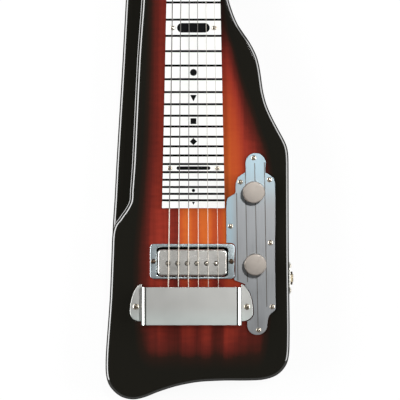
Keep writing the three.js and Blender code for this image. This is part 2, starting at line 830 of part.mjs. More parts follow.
function makeBridgeCover() {
  const height = coverTop - bodyThickness;
  const arch = (inset, drop) => {
    const half = coverLength / 2 - inset;
    const top = height - inset;
    const radius = coverCornerRadius - inset;
    const shape = new THREE.Shape();
    shape.moveTo(half, -drop);
    shape.lineTo(half, top - radius);
    shape.absarc(half - radius, top - radius, radius, 0, Math.PI / 2);
    shape.absarc(radius - half, top - radius, radius, Math.PI / 2, Math.PI);
    shape.lineTo(-half, -drop);
    return shape;
  };
  const depth = coverFrontY - coverBackY;
  const stand = (shape, extra) => new THREE.ExtrudeGeometry(shape, {
    depth: depth + 2 * extra, bevelEnabled: false, curveSegments: cornerSteps,
  }).rotateX(Math.PI / 2).translate(coverX, coverFrontY + extra, bodyThickness);
  const shell = cut(stand(arch(0, 0), 0), [stand(arch(coverWall, cutOverrun), cutOverrun)]);
  const holes = coverScrewPlaces.map(([x, y]) => hole(
    coverScrew.shank + seatGap, bodyThickness - cutOverrun, bodyThickness + coverWall + cutOverrun,
    holeSides,
  ).translate(x, y, 0));
  const feet = join([shell, coverFoot(-1), coverFoot(1)]);
  add('bridge_cover', cut(feet, holes), chrome());
}

// Screws

function screwGeometry({ head, dome, shank, length }) {
  return turned([
    [0, dome], [head / 2, dome * domeShoulderShare], [head, dome * domeRimShare], [head, 0],
    [shank, 0], [shank, shank - length], [0, -length],
  ], smallSides);
}

function addScrew(name, screw, [x, y], z, finish) {
  add(name, screwGeometry(screw), finish).position.set(x, y, z);
}

function makeScrews() {
  ['left', 'right'].forEach((side, i) => {
    addScrew(`cover_screw_${side}`, coverScrew, coverScrewPlaces[i], bodyThickness + coverWall, chrome());
    addScrew(`ring_screw_${side}`, ringScrew, ringScrewPlaces[i], bodyThickness + ringThickness, steel());
  });
  plateScrewPlaces.forEach((place, i) => {
    addScrew(`plate_screw_${i + 1}`, plateScrew, place, plateFace, nickel());
  });
  fretboardScrewPlaces.forEach((place, i) => {
    addScrew(`fretboard_screw_${i + 1}`, fretboardScrew, place, boardTop, nickel());
  });
}

// Pickup

function makePickup() {
  const ring = rounded(
    roundedBox(ringLength, ringWidth, ringCornerRadius, pickupX, ringY),
    bodyThickness, bodyThickness + ringThickness, ringThickness / 4,
  );
  const opening = roundedBox(ringOpeningLength, ringOpeningWidth, ringCornerRadius, pickupX, ringY);
  const screwHoles = ringScrewPlaces.map(([x, y]) => hole(
    ringScrew.shank + seatGap, bodyThickness - cutOverrun, bodyThickness + ringThickness + cutOverrun,
    holeSides,
  ).translate(x, y, 0));
  add('pickup_ring', cut(ring, [
    upright(opening, bodyThickness - cutOverrun, bodyThickness + ringThickness + cutOverrun),
    ...screwHoles,
  ]), material(0xbfd0d6, 0.3, 0.9));

  const poleHoles = (z0, z1) => poleXs.map((x) => (
    hole(poleRadius + seatGap, z0, z1, holeSides).translate(x, poleY, 0)
  ));
  const shell = rounded(
    roundedBox(pickupLength, pickupWidth, pickupCornerRadius, pickupX, pickupY),
    pickupFloor, pickupTop, pickupWall,
  );
  const hollowRadius = pickupCornerRadius - pickupWall;
  const hollow = roundedBox(
    pickupLength - 2 * pickupWall, pickupWidth - 2 * pickupWall, hollowRadius, pickupX, pickupY,
  );
  add('pickup_cover', cut(shell, [
    upright(hollow, pickupFloor - cutOverrun, pickupTop - pickupWall),
    ...poleHoles(pickupTop - pickupWall - cutOverrun, pickupTop + cutOverrun),
  ]), chrome());

  const inset = 2 * (pickupWall + seatGap);
  const baseTop = pickupFloor + basePlateThickness;
  const basePlate = roundedBox(
    pickupLength - inset, pickupWidth - inset, hollowRadius - seatGap, pickupX, pickupY,
  );
  add('pickup_base_plate', upright(basePlate, pickupFloor, baseTop), steel());

  const magnetTop = baseTop + magnetThickness;
  const magnet = new THREE.BoxGeometry(magnetLength, magnetWidth, magnetThickness);
  magnet.translate(poleX, poleY, baseTop + magnetThickness / 2);
  add('pickup_magnet', magnet, material(0x6d6f70, 0.6, 0.8));

  const keeperTop = magnetTop + keeperThickness;
  const keeper = new THREE.BoxGeometry(keeperLength, keeperWidth, keeperThickness);
  keeper.translate(poleX, poleY, magnetTop + keeperThickness / 2);
  const poles = poleXs.map((x) => turned([
    [0, pickupTop + poleHeadHeight], [poleHeadRadius, pickupTop + poleHeadHeight / 2],
    [poleHeadRadius, pickupTop], [poleRadius, pickupTop],
    [poleRadius, magnetTop + keeperThickness / 2], [0, magnetTop + keeperThickness / 2],
  ], holeSides).translate(x, poleY, 0));
  add('pickup_pole_screws', join([keeper, ...poles]), steel());

  const bobbinTop = pickupTop - pickupWall - seatGap;
  const flange = roundedBox(bobbinLength, bobbinWidth, bobbinWidth / 2, poleX, poleY);
  const core = roundedBox(bobbinCoreLength, bobbinCoreWidth, bobbinCoreWidth / 2, poleX, poleY);
  const bobbin = join([
    upright(flange, keeperTop, keeperTop + bobbinFlange),
    upright(core, keeperTop, bobbinTop),
    upright(flange, bobbinTop - bobbinFlange, bobbinTop),
  ]);
  add('pickup_bobbin', cut(bobbin, poleHoles(keeperTop - cutOverrun, bobbinTop + cutOverrun)),
    material(0x1c1c1c, 0.5, 0));

  const grown = (margin) => roundedBox(
    bobbinCoreLength + 2 * margin, bobbinCoreWidth + 2 * margin, bobbinCoreWidth / 2 + margin,
    poleX, poleY,
  );
  const coil = grown(coilBuild);
  coil.holes.push(grown(seatGap));
  add('pickup_coil', upright(
    coil, keeperTop + bobbinFlange + seatGap, bobbinTop - bobbinFlange - seatGap,
  ), material(0x7a3416, 0.6, 0));
}

// Control plate

function platePoint([u, v]) {
  return [plateLeft + u * plateWidth, plateBottom + v * (plateTop - plateBottom)];
}

function plateShape() {
  const shape = new THREE.Shape();
  const goTo = (point) => shape.lineTo(...point);
  shape.absarc(...topLobe, plateLobeRadius, Math.PI, 0, true);
  plateTrebleShares.map(platePoint).forEach(goTo);
  const start = bottomLobeStartShare * Math.PI * 2;
  shape.absarc(...bottomLobe, plateLobeRadius, start, -Math.PI - start, true);
  plateStringShares.map(platePoint).forEach(goTo);
  return shape;
}

function engraving([[topU, topV], [bottomU, bottomV]]) {
  const [topX, topY] = platePoint([topU, topV]);
  const [bottomX, bottomY] = platePoint([bottomU, bottomV]);
  const half = engravingWidth / 2;
  return upright(outline([
    [bottomX - half, bottomY], [bottomX + half, bottomY], [topX + half, topY], [topX - half, topY],
  ]), plateFace - engravingDepth, plateFace + cutOverrun);
}

function makeControlPlate() {
  const ringRoom = roundedBox(
    ringLength + 2 * plateGap, ringWidth + 2 * plateGap, ringCornerRadius + plateGap, pickupX, ringY,
  );
  const through = [bodyThickness - cutOverrun, plateFace + cutOverrun];
  const screwHoles = plateScrewPlaces.map(([x, y]) => (
    hole(plateScrew.shank + seatGap, ...through, holeSides).translate(x, y, 0)
  ));
  const bushingHoles = controlPlaces.map(([x, y]) => (
    hole(bushingRadius + seatGap, ...through, smallSides).translate(x, y, 0)
  ));
  add('control_plate', cut(upright(plateShape(), bodyThickness, plateFace, lobeSteps), [
    upright(ringRoom, ...through),
    upright(footOutline(1, plateGap), ...through),
    ...screwHoles, ...bushingHoles, ...engravingShares.map(engraving),
  ]), material(0x9fb2bf, 0.35, 0.9));
}

// Potentiometers, shafts and knobs

function makeControl(kind, [x, y]) {
  const group = new THREE.Group();
  group.position.set(x, y, 0);
  guitar.add(group);
  const bushingTop = plateFace + bushingHeight;
  const shaftFoot = bodyThickness - potHeight / 2;
  const can = join([
    rod(potRadius, bodyThickness - potHeight, bodyThickness, roundSides),
    rod(bushingRadius, bodyThickness - potHeight / 2, bushingTop, smallSides),
    rod(potNutRadius, plateFace, plateFace + potNutThickness, tubeSides),
  ]);
  const bore = hole(shaftRadius + runningGap, shaftFoot, bushingTop + cutOverrun, smallSides);
  add(`${kind}_pot`, cut(can, [bore]), material(0x8f9294, 0.4, 0.9), group);

  const shaft = rod(shaftRadius, 0, shaftLength, smallSides);
  shaft.translate(0, 0, shaftFoot + seatGap);
  add(`${kind}_shaft`, shaft, steel(), group);

  const shaftTop = shaftFoot + seatGap + shaftLength;
  const knobTop = shaftTop + knobHeight - knobGrip;
  const knobFoot = knobTop - knobHeight;
  const nutRoom = potNutRadius + runningGap + seatGap;
  const nutRoomTop = bushingTop + runningGap + seatGap;
  const boreRadius = shaftRadius + seatGap;
  add(`${kind}_knob`, turned([
    [0, knobTop], [knobRadius - knobEdge, knobTop], [knobRadius, knobTop - knobEdge],
    [knobRadius, knobFoot], [nutRoom, knobFoot], [nutRoom, nutRoomTop],
    [boreRadius, nutRoomTop], [boreRadius, shaftTop + seatGap], [0, shaftTop + seatGap],
  ], knobSides), nickel(), group);
}

// Output jack

function jackScrewPlaces() {
  return [[jackY - jackScrewSpan / 2, jackHeight], [jackY + jackScrewSpan / 2, jackHeight]];
}

function makeJack() {
  const group = new THREE.Group();
  group.position.set(jackSeatReach, jackY, jackHeight);
  guitar.add(group);
  const through = [-cutOverrun, jackPlateThickness + cutOverrun];
  const plate = upright(
    roundedBox(jackPlateWidth, jackPlateLength, jackPlateWidth / 2, 0, 0), 0, jackPlateThickness,
  );
  const screwHoles = jackScrewPlaces().map(([y]) => (
    hole(jackScrew.shank + seatGap, ...through, holeSides).translate(0, y - jackY, 0)
  ));
  const sleeveHole = hole(jackSleeveRadius + seatGap, ...through, smallSides);
  add('jack_plate', alongX(cut(plate, [sleeveHole, ...screwHoles])), chrome(), group);
  jackScrewPlaces().forEach(([y], i) => {
    const screw = alongX(screwGeometry(jackScrew));
    const mesh = add(`jack_plate_screw_${i + 1}`, screw, chrome(), group);
    mesh.position.set(jackPlateThickness, y - jackY, 0);
  });

  const noseTop = jackPlateThickness + jackNutThickness + jackNose;
  const springX = jackBoreRadius + jackSpringThickness;
  const springs = [1, -1].map((side) => block(
    [-jackSpringWidth / 2, jackSpringWidth / 2],
    [side * springX, side * (springX + jackSpringThickness)].sort((a, b) => a - b),
    [-jackShoulderThickness / 2 - jackSpringLength, -jackShoulderThickness / 2],
  ));
  const socket = join([
    rod(jackSleeveRadius, -jackSleeveDepth / 2, noseTop, smallSides),
    rod(jackShoulderRadius, -jackShoulderThickness, 0, smallSides),
    ...springs,
  ]);
  const bore = hole(jackBoreRadius, -jackSleeveDepth, noseTop + cutOverrun, smallSides);
  add('jack_socket', alongX(cut(socket, [bore])), steel(), group);

  const nut = rod(jackNutFlats / 2 / Math.cos(Math.PI / tubeSides), 0, jackNutThickness, tubeSides);
  nut.translate(0, 0, jackPlateThickness);
  const thread = hole(jackSleeveRadius + seatGap, 0, noseTop + cutOverrun, smallSides);
  add('jack_nut', alongX(cut(nut, [thread])), chrome(), group);
}

// Tuners. In a tuner's own frame +X points out of the headstock's side.

const wormOffset = gearRadius + wormRadius + runningGap;
const plateUnderside = headBack - tunerPlateThickness;
const buttonStart = postInset + buttonClearance;

function tunerPlateGeometry() {
  const end = (sideTuners - 1) * tunerSpacing / 2 + tunerPlateEnd;
  const strip = block([-tunerPlateInner, tunerPlateOuter], [-end, end], [plateUnderside, headBack]);
  const bearingFootZ = wormHeight - bearingFoot;
  const across = [wormOffset - bearingWidth / 2, wormOffset + bearingWidth / 2];
  const [pieces, holes] = [[strip], []];
  for (const y of centredRow(sideTuners, tunerSpacing)) {
    for (const x of [-bearingOffset - bearingThickness, bearingOffset]) {
      const bearing = block(
        [x, x + bearingThickness], [across[0], across[1]], [bearingFootZ, plateUnderside + seatGap],
      );
      pieces.push(bearing.translate(0, y, 0));
    }
    holes.push(hole(
      postRadius + runningGap, plateUnderside - cutOverrun, headBack + cutOverrun, smallSides,
    ).translate(0, y, 0));
    const shaftHole = alongX(hole(
      wormShaftRadius + runningGap, -bearingOffset - cutOverrun, bearingOffset + cutOverrun, holeSides,
    ));
    holes.push(shaftHole.translate(0, y + wormOffset, wormHeight));
  }
  return cut(join(pieces), holes);
}

function tunerPostGeometry() {
  const face = ledgeTop;
  const gearTop = wormHeight + gearThickness / 2;
  const gearFoot = wormHeight - gearThickness / 2;
  return turned([
    [0, face + postRise], [postRadius, face + postRise - postCapHeight / 4],
    [postRadius, face + postRise - postCapHeight], [postWaistRadius, face + postRise - postCapHeight - seatGap],
    [postWaistRadius, face + postFootRise], [postRadius, face + postFootRise - seatGap],
    [postRadius, gearTop], [gearRadius, gearTop], [gearRadius, gearFoot],
    [gearScrewRadius, gearFoot], [gearScrewRadius, gearFoot - gearScrewHeight],
    [0, gearFoot - gearScrewHeight],
  ], smallSides);
}

function tunerButtonGeometry() {
  const wormHalf = bearingOffset - runningGap;
  const shaftStart = -bearingOffset - bearingThickness - seatGap;
  const spindle = turned([
    [0, buttonStart + buttonLength / 2], [wormShaftRadius, buttonStart + buttonLength / 2],
    [wormShaftRadius, wormHalf], [wormRadius, wormHalf], [wormRadius, -wormHalf],
    [wormShaftRadius, -wormHalf], [wormShaftRadius, shaftStart], [0, shaftStart],
  ], holeSides);
  const middle = buttonStart + buttonLength / 2;
  const oval = new THREE.Shape();
  oval.absellipse(middle, 0, buttonLength / 2, buttonRadius, 0, 2 * Math.PI);
  const button = rounded(oval, -buttonThickness / 2, buttonThickness / 2, buttonEdge);
  return join([alongX(spindle), button]);
}

function makeTuners() {
  const places = tunerPlaces();
  const middleY = scaleLength + firstTunerY + ((sideTuners - 1) * tunerSpacing) / 2;
  [['right', 0], ['left', Math.PI]].forEach(([side, turn]) => {
    const x = turn ? postInset - headBassReach : headTrebleReach - postInset;
    const plate = add(`tuner_plate_${side}`, tunerPlateGeometry(), nickel());
    plate.position.set(x, middleY, 0);
    plate.rotation.z = turn;
  });
  places.forEach(([x, y], i) => {
    const tuner = new THREE.Group();
    tuner.position.set(x, y, 0);
    tuner.rotation.z = x > 0 ? 0 : Math.PI;
    guitar.add(tuner);
    add(`tuner_post_${i + 1}`, tunerPostGeometry(), nickel(), tuner);
    const button = add(`tuner_button_${i + 1}`, tunerButtonGeometry(), material(0xe9e2cf, 0.35, 0), tuner);
    button.position.set(0, wormOffset, wormHeight);
  });
}

makeBody();
makeFretboard();
makeNut();
makeStrings();
makeBridge();
makeBridgeCover();
makePickup();
makeControlPlate();
makeScrews();
makeControl('volume', controlPlaces[0]);
makeControl('tone', controlPlaces[1]);
makeJack();
makeTuners();

export default guitar;
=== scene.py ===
# Lap steel guitar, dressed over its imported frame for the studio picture.
# Metres throughout: +X is the treble side, +Y runs to the headstock, +Z comes out of the face.
import json
import math
import random

import bmesh
import bpy
from mathutils import Matrix, Vector
from mathutils.geometry import interpolate_bezier, intersect_point_line

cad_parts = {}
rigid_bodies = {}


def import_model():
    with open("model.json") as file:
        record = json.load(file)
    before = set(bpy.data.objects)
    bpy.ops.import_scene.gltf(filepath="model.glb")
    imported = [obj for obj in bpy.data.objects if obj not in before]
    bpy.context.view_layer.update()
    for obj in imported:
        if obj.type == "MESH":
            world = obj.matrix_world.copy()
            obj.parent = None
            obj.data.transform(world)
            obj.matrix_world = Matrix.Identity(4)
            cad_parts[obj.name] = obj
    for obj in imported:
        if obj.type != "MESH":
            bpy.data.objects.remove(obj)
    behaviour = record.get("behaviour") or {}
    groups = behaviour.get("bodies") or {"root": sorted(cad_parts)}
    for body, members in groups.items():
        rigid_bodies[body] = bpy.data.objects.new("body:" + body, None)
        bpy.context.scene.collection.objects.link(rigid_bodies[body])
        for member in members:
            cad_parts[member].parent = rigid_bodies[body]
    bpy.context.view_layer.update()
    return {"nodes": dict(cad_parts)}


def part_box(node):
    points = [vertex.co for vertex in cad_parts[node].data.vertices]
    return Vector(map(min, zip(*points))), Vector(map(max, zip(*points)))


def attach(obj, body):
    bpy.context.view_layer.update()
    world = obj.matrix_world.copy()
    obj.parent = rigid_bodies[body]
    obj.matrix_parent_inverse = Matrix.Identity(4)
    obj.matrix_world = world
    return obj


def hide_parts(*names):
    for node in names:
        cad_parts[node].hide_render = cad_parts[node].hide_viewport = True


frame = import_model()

nodes = frame["nodes"]
weldDistance = 1e-6
cutMargin = 0.002  # how far a cutting tool passes the face that it opens
cornerAngle = math.radians(32)  # a bend of an outline that is sharper stays a corner
cornerRoom = 1.1  # times a corner's rounding, is kept clear of other points
lineBlur = 0.00003  # over which the edge of an engraved line fades
largestOnly = 100  # weight at which a point is shaded as the largest face that it belongs to
fullTurn = 2 * math.pi
facingTreble = Matrix.Rotation(math.pi / 2, 4, "Y")  # these turn what was built upwards
facingTail = Matrix.Rotation(math.pi / 2, 4, "X")
facingBack = Matrix.Rotation(math.pi, 4, "X")
print("Frame loaded:", len(nodes), "nodes")


# Colour as the eye reads it, 0 to 255 for each part, turned to the linear values that Blender takes.
def tone(red, green, blue):
    shares = [part / 255 for part in (red, green, blue)]
    return (*[s / 12.92 if s <= 0.04045 else ((s + 0.055) / 1.055) ** 2.4 for s in shares], 1)


# Node building

def addNode(tree, kind, inputs=None, **settings):
    node = tree.nodes.new("ShaderNode" + kind)
    for name, value in settings.items():
        setattr(node, name, value)
    for name, value in (inputs or {}).items():
        if isinstance(value, bpy.types.NodeSocket):
            tree.links.new(value, node.inputs[name])
        else:
            node.inputs[name].default_value = value
    return node


def compute(tree, operation, first, second=0.0, clamp=False):
    node = addNode(tree, "Math", {0: first, 1: second}, operation=operation, use_clamp=clamp)
    return node.outputs[0]


def times(tree, first, second):
    return compute(tree, "MULTIPLY", first, second)


def scaled(tree, value, gain, base):
    return compute(tree, "ADD", times(tree, value, gain), base)


# The swing of a pattern about its middle, times a gain.
def swingOf(tree, pattern, gain):
    return times(tree, compute(tree, "SUBTRACT", pattern, 0.5), gain)


def noise(tree, place, scale, detail):
    return addNode(tree, "TexNoise", {"Vector": place, "Scale": scale, "Detail": detail}).outputs[0]


def fade(tree, value, low, high, kind="SMOOTHSTEP"):
    inputs = {"Value": value, "From Min": low, "From Max": high}
    return addNode(tree, "MapRange", inputs, interpolation_type=kind).outputs["Result"]


def mixColors(tree, amount, first, second):
    # a mix node has several pairs of inputs, and these two are for colours
    inputs = {0: amount, 6: first, 7: second}
    return addNode(tree, "Mix", inputs, data_type="RGBA").outputs[2]


def shadeColor(tree, color, amount):
    inputs = {0: color, "Scale": amount}
    return addNode(tree, "VectorMath", inputs, operation="SCALE").outputs[0]


def setStops(ramp, stops):
    elements = ramp.color_ramp.elements
    elements[0].position, elements[0].color = stops[0]
    elements[1].position, elements[1].color = stops[-1]
    for position, color in stops[1:-1]:
        elements.new(position).color = color


def objectPlace(tree):
    return addNode(tree, "TexCoord").outputs["Object"]


def splitPlace(tree, place=None):
    return addNode(tree, "SeparateXYZ", {0: objectPlace(tree) if place is None else place}).outputs


# How far a place lies from a line, along one axis.
def distanceFrom(tree, place, line):
    return compute(tree, "ABSOLUTE", compute(tree, "SUBTRACT", place, line))


def bumpNormal(tree, height, bump):
    inputs = {"Height": height, "Strength": bump["strength"], "Distance": bump["distance"]}
    return addNode(tree, "Bump", inputs).outputs[0]


def setSockets(shader, sockets):
    for label, value in sockets.items():
        shader.inputs[label].default_value = value


grainValues = {
    "fineDetail": 3,
    "softScale": 42,  # of the handling marks
    "softDetail": 2,
    "softShade": 0.3,  # share of their swing that shows in the colour
    "leastRoughness": 0.03,
}


# Fine marks stretched by Frequency, and soft handling marks over them.
def makeGrainGroup():
    values = grainValues
    tree = bpy.data.node_groups.new("surfaceGrain", "ShaderNodeTree")
    tree.interface.new_socket("Frequency", in_out="INPUT", socket_type="NodeSocketVector")
    for label in ("Contrast", "Roughness", "Smudge"):
        tree.interface.new_socket(label, in_out="INPUT", socket_type="NodeSocketFloat")
    for label in ("Shade", "Roughness", "Height"):
        tree.interface.new_socket(label, in_out="OUTPUT", socket_type="NodeSocketFloat")
    given = tree.nodes.new("NodeGroupInput").outputs
    result = tree.nodes.new("NodeGroupOutput").inputs
    place = objectPlace(tree)
    inputs = {0: place, 1: given["Frequency"]}
    stretched = addNode(tree, "VectorMath", inputs, operation="MULTIPLY").outputs[0]
    fine = noise(tree, stretched, 1, values["fineDetail"])
    soft = noise(tree, place, values["softScale"], values["softDetail"])
    fineSwing = swingOf(tree, fine, given["Contrast"])
    softSwing = swingOf(tree, soft, given["Smudge"])
    softShade = times(tree, softSwing, values["softShade"])
    shade = compute(tree, "ADD", compute(tree, "ADD", fineSwing, 1), softShade)
    tree.links.new(shade, result["Shade"])
    rough = compute(tree, "ADD", given["Roughness"], compute(tree, "ADD", fineSwing, softSwing))
    tree.links.new(compute(tree, "MAXIMUM", rough, values["leastRoughness"]), result["Roughness"])
    tree.links.new(fine, result["Height"])
    return tree


grainGroup = makeGrainGroup()


def startMaterial(name):
    material = bpy.data.materials.new(name)
    material.use_nodes = True
    return material, material.node_tree, material.node_tree.nodes["Principled BSDF"]


def placeGrain(tree, values):
    grain = addNode(tree, "Group", node_tree=grainGroup)
    for label in ("Frequency", "Contrast", "Roughness", "Smudge"):
        grain.inputs[label].default_value = values[label.lower()]
    return grain.outputs


def connectGrain(tree, shader, grain, color, values):
    tree.links.new(color, shader.inputs["Base Color"])
    tree.links.new(grain["Roughness"], shader.inputs["Roughness"])
    tree.links.new(bumpNormal(tree, grain["Height"], values["bump"]), shader.inputs["Normal"])
    setSockets(shader, values.get("fixed", {}))


# A finish of one colour whose shade, gloss and relief vary by its grain.
def makeFinish(name, values):
    material, tree, shader = startMaterial(name)
    grain = placeGrain(tree, values)
    connectGrain(tree, shader, grain, shadeColor(tree, values["color"][:3], grain["Shade"]), values)
    return material


# what most of the metals have in common
metalFinish = {
    "frequency": (500, 500, 500),
    "bump": {"strength": 0.04, "distance": 0.0001},
    "fixed": {"Metallic": 1.0},
}


# Outlines

def arc(x, y, radius, start, end, steps):
    turns = [start + (end - start) * i / steps for i in range(steps + 1)]
    return [Vector((x + radius * math.cos(t), y + radius * math.sin(t))) for t in turns]


def roundedBox(length, width, radius, x, y, steps=8):
    a, b = length / 2 - radius, width / 2 - radius
    quarter = math.pi / 2
    corners = [(a, b), (-a, b), (-a, -b), (a, -b)]
    return [p for i, (dx, dy) in enumerate(corners)
            for p in arc(x + dx, y + dy, radius, i * quarter, (i + 1) * quarter, steps)]


def quarterTurns(steps):
    return [math.pi / 2 * i / steps for i in range(steps + 1)]


def circle(x, y, radius, steps):
    return arc(x, y, radius, 0, fullTurn, steps)[:-1]


def weldedCopy(node):
    bm = bmesh.new()
    bm.from_mesh(nodes[node].data)
    bmesh.ops.remove_doubles(bm, verts=bm.verts, dist=weldDistance)
    return bm


# The closed lines where a level plane cuts a node, the longest first.
def sectionLoops(node, height):
    bm = weldedCopy(node)
    geometry = [*bm.verts, *bm.edges, *bm.faces]
    bmesh.ops.bisect_plane(bm, geom=geometry, plane_co=(0, 0, height), plane_no=(0, 0, 1),
                           clear_inner=True, clear_outer=True)
    # each loop starts at its lowest Y, so that every run finds the same points in the same order
    waiting = dict.fromkeys(sorted(bm.verts, key=lambda v: (v.co.y, v.co.x)))
    loops = []
    while waiting:
        vert = next(iter(waiting))
        loop = []
        while vert:
            waiting.pop(vert)
            loop.append(vert)
            onward = [e.other_vert(vert) for e in vert.link_edges if e.other_vert(vert) in waiting]
            vert = min(onward, key=lambda v: v.co.x, default=None)
        loops.append(straightened([v.co.xy for v in loop]))
    bm.free()
    return sorted(loops, key=lambda points: -outlineLength(points))


def outlineLength(points):
    return sum((b - a).length for a, b in zip(points, points[1:]))


def bendAt(before, point, after):
    return abs((point - before).angle_signed(after - point, 0))


def straightened(points, least=math.radians(0.3)):
    count = len(points)
    return [p.copy() for i, p in enumerate(points)
            if bendAt(points[i - 1], p, points[(i + 1) % count]) > least]


# A smooth line through the points, whose corners stay.
def refine(points, steps, closed=True):
    count = len(points)

    def neighbour(i):
        return points[i % count] if closed else points[min(max(i, 0), count - 1)]

    def handle(i, towards):
        before, point, after = neighbour(i - 1), points[i % count], neighbour(i + 1)
        reach = neighbour(i + towards) - point
        if (closed or 0 < i < count - 1) and bendAt(before, point, after) < cornerAngle:
            return point + (after - before).normalized() * towards * reach.length / 3
        return point + reach / 3

    line = []
    for i in range(count if closed else count - 1):
        after = (i + 1) % count
        line += curveLine(points[i], handle(i, 1), handle(after, -1), points[after], steps + 1)[:-1]
    return line if closed else [*line, points[-1]]


def curveLine(start, leaving, arriving, end, count):
    return [Vector(p[:2]) for p in interpolate_bezier(start, leaving, arriving, end, count)]


# The corners of an outline, each with how far a rounded edge reaches from it.
def cornerReaches(points, radius):
    bends = [bendAt(points[i - 1], p, points[(i + 1) % len(points)]) for i, p in enumerate(points)]
    return [(p, radius * math.tan(bend / 2) * cornerRoom)
            for p, bend in zip(points, bends) if bend > cornerAngle]


# Without the points that a rounded edge would fold over.
def clearOf(points, corners):
    return [p for p in points if all(not 0 < (p - corner).length < reach for corner, reach in corners)]


# Mesh building

def turnOutward(bm):
    bmesh.ops.recalc_face_normals(bm, faces=bm.faces)


# Moves the corners of what was just extruded.
def draw(bm, extruded, way):
    verts = [part for part in extruded["geom"] if isinstance(part, bmesh.types.BMVert)]
    bmesh.ops.translate(bm, verts=verts, vec=way)


def slab(points, low, high):
    bm = bmesh.new()
    face = bm.faces.new([bm.verts.new((p[0], p[1], low)) for p in points])
    draw(bm, bmesh.ops.extrude_face_region(bm, geom=[face]), (0, 0, high - low))
    turnOutward(bm)
    return bm


def box(low, high):
    return slab([(low[0], low[1]), (high[0], low[1]), (high[0], high[1]), (low[0], high[1])], low[2], high[2])


# The tool for a slot along X, centred on the axis.
def slotTool(reach, half, low, high):
    return box((-reach, -half, low), (reach, half, high))


def roundEdges(bm, edges, radius, segments, clamp=False):
    bmesh.ops.bevel(bm, geom=edges, offset=radius, offset_type="OFFSET", segments=segments,
                    profile=0.5, affect="EDGES", material=-1, clamp_overlap=clamp)


def edgesAt(bm, height, tolerance=1e-5):
    return [e for e in bm.edges if all(abs(v.co.z - height) < tolerance for v in e.verts)]


# A profile of radius and height pairs turned round Z.
def turnProfile(profile, sides):
    bm = bmesh.new()
    verts = [bm.verts.new((radius, 0, height)) for radius, height in profile]
    # an edge on the axis itself would stay behind as a wire
    edges = [bm.edges.new(pair) for pair in zip(verts, verts[1:]) if pair[0].co.x or pair[1].co.x]
    bmesh.ops.spin(bm, geom=verts + edges, cent=(0, 0, 0), axis=(0, 0, 1), dvec=(0, 0, 0),
                   angle=fullTurn, steps=sides, use_merge=True, use_duplicate=False)
    bmesh.ops.remove_doubles(bm, verts=bm.verts, dist=weldDistance)
    turnOutward(bm)
    return bm


# A profile's rounded top: points at shares of the radius, each so far below the top.
def crown(radius, top, rows):
    return [(0, top), *[(radius * share, top - depth) for share, depth in rows]]


def moved(bm, place=(0, 0, 0), turn=0.0, tilt=None):
    matrix = Matrix.Translation(place) @ (tilt or Matrix.Identity(4)) @ Matrix.Rotation(turn, 4, "Z")
    bmesh.ops.transform(bm, matrix=matrix, verts=bm.verts)
    return bm


def joined(parts):
    bm = bmesh.new()
    for part in parts:
        mesh = bpy.data.meshes.new("part")
        part.to_mesh(mesh)
        bm.from_mesh(mesh)
        bpy.data.meshes.remove(mesh)
        part.free()
    return bm


def looseObject(bm, name):
    mesh = bpy.data.meshes.new(name)
    bm.to_mesh(mesh)
    bm.free()
    obj = bpy.data.objects.new(name, mesh)
    bpy.context.scene.collection.objects.link(obj)
    return obj


# The mesh that an object has once its modifiers are done.
def finishedMesh(obj):
    bpy.context.view_layer.update()
    mesh = bpy.data.meshes.new_from_object(obj.evaluated_get(bpy.context.evaluated_depsgraph_get()))
    bm = bmesh.new()
    bm.from_mesh(mesh)
    bpy.data.meshes.remove(mesh)
    return bm


def combine(bm, tools, operation):
    blank = looseObject(bm, "blank")
    cutters = [looseObject(tool, "cutter") for tool in tools]
    for cutter in cutters:
        modifier = blank.modifiers.new("combine", "BOOLEAN")
        modifier.operation = operation
        modifier.solver = "EXACT"
        modifier.object = cutter
    result = finishedMesh(blank)
    for obj in (blank, *cutters):
        mesh = obj.data
        bpy.data.objects.remove(obj)
        bpy.data.meshes.remove(mesh)
    return result


def carve(bm, tools):
    return combine(bm, tools, "DIFFERENCE")


def finishPiece(bm, name, material, replaced=(), body="root", sharpAngle=35, weighted=False):
    obj = looseObject(bm, name)
    obj.data.materials.append(material)
    obj.data.shade_smooth()
    obj.data.set_sharp_from_angle(angle=math.radians(sharpAngle))
    if weighted:
        modifier = obj.modifiers.new("level", "WEIGHTED_NORMAL")
        modifier.keep_sharp = True
        modifier.weight = largestOnly
    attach(obj, body)
    if replaced:
        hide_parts(*replaced)


# A CAD node with its outer edges eased, for a piece whose shape is right as it is.
def easedCopy(node, width, segments=2, flat=math.radians(0.5), sharp=math.radians(40)):
    bm = weldedCopy(node)
    bmesh.ops.dissolve_limit(bm, angle_limit=flat, verts=bm.verts, edges=bm.edges)
    edges = [e for e in bm.edges if len(e.link_faces) == 2 and e.calc_face_angle_signed(0) > sharp]
    roundEdges(bm, edges, width, segments, clamp=True)
    return bm


# A node's box, and its middle.
def boxOf(node):
    low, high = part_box(node)
    return low, high, (low + high) / 2


def nodesNamed(start):
    return sorted(name for name in nodes if name.startswith(start))


def dressNode(node, material):
    nodes[node].data.materials.clear()
    nodes[node].data.materials.append(material)


# Body

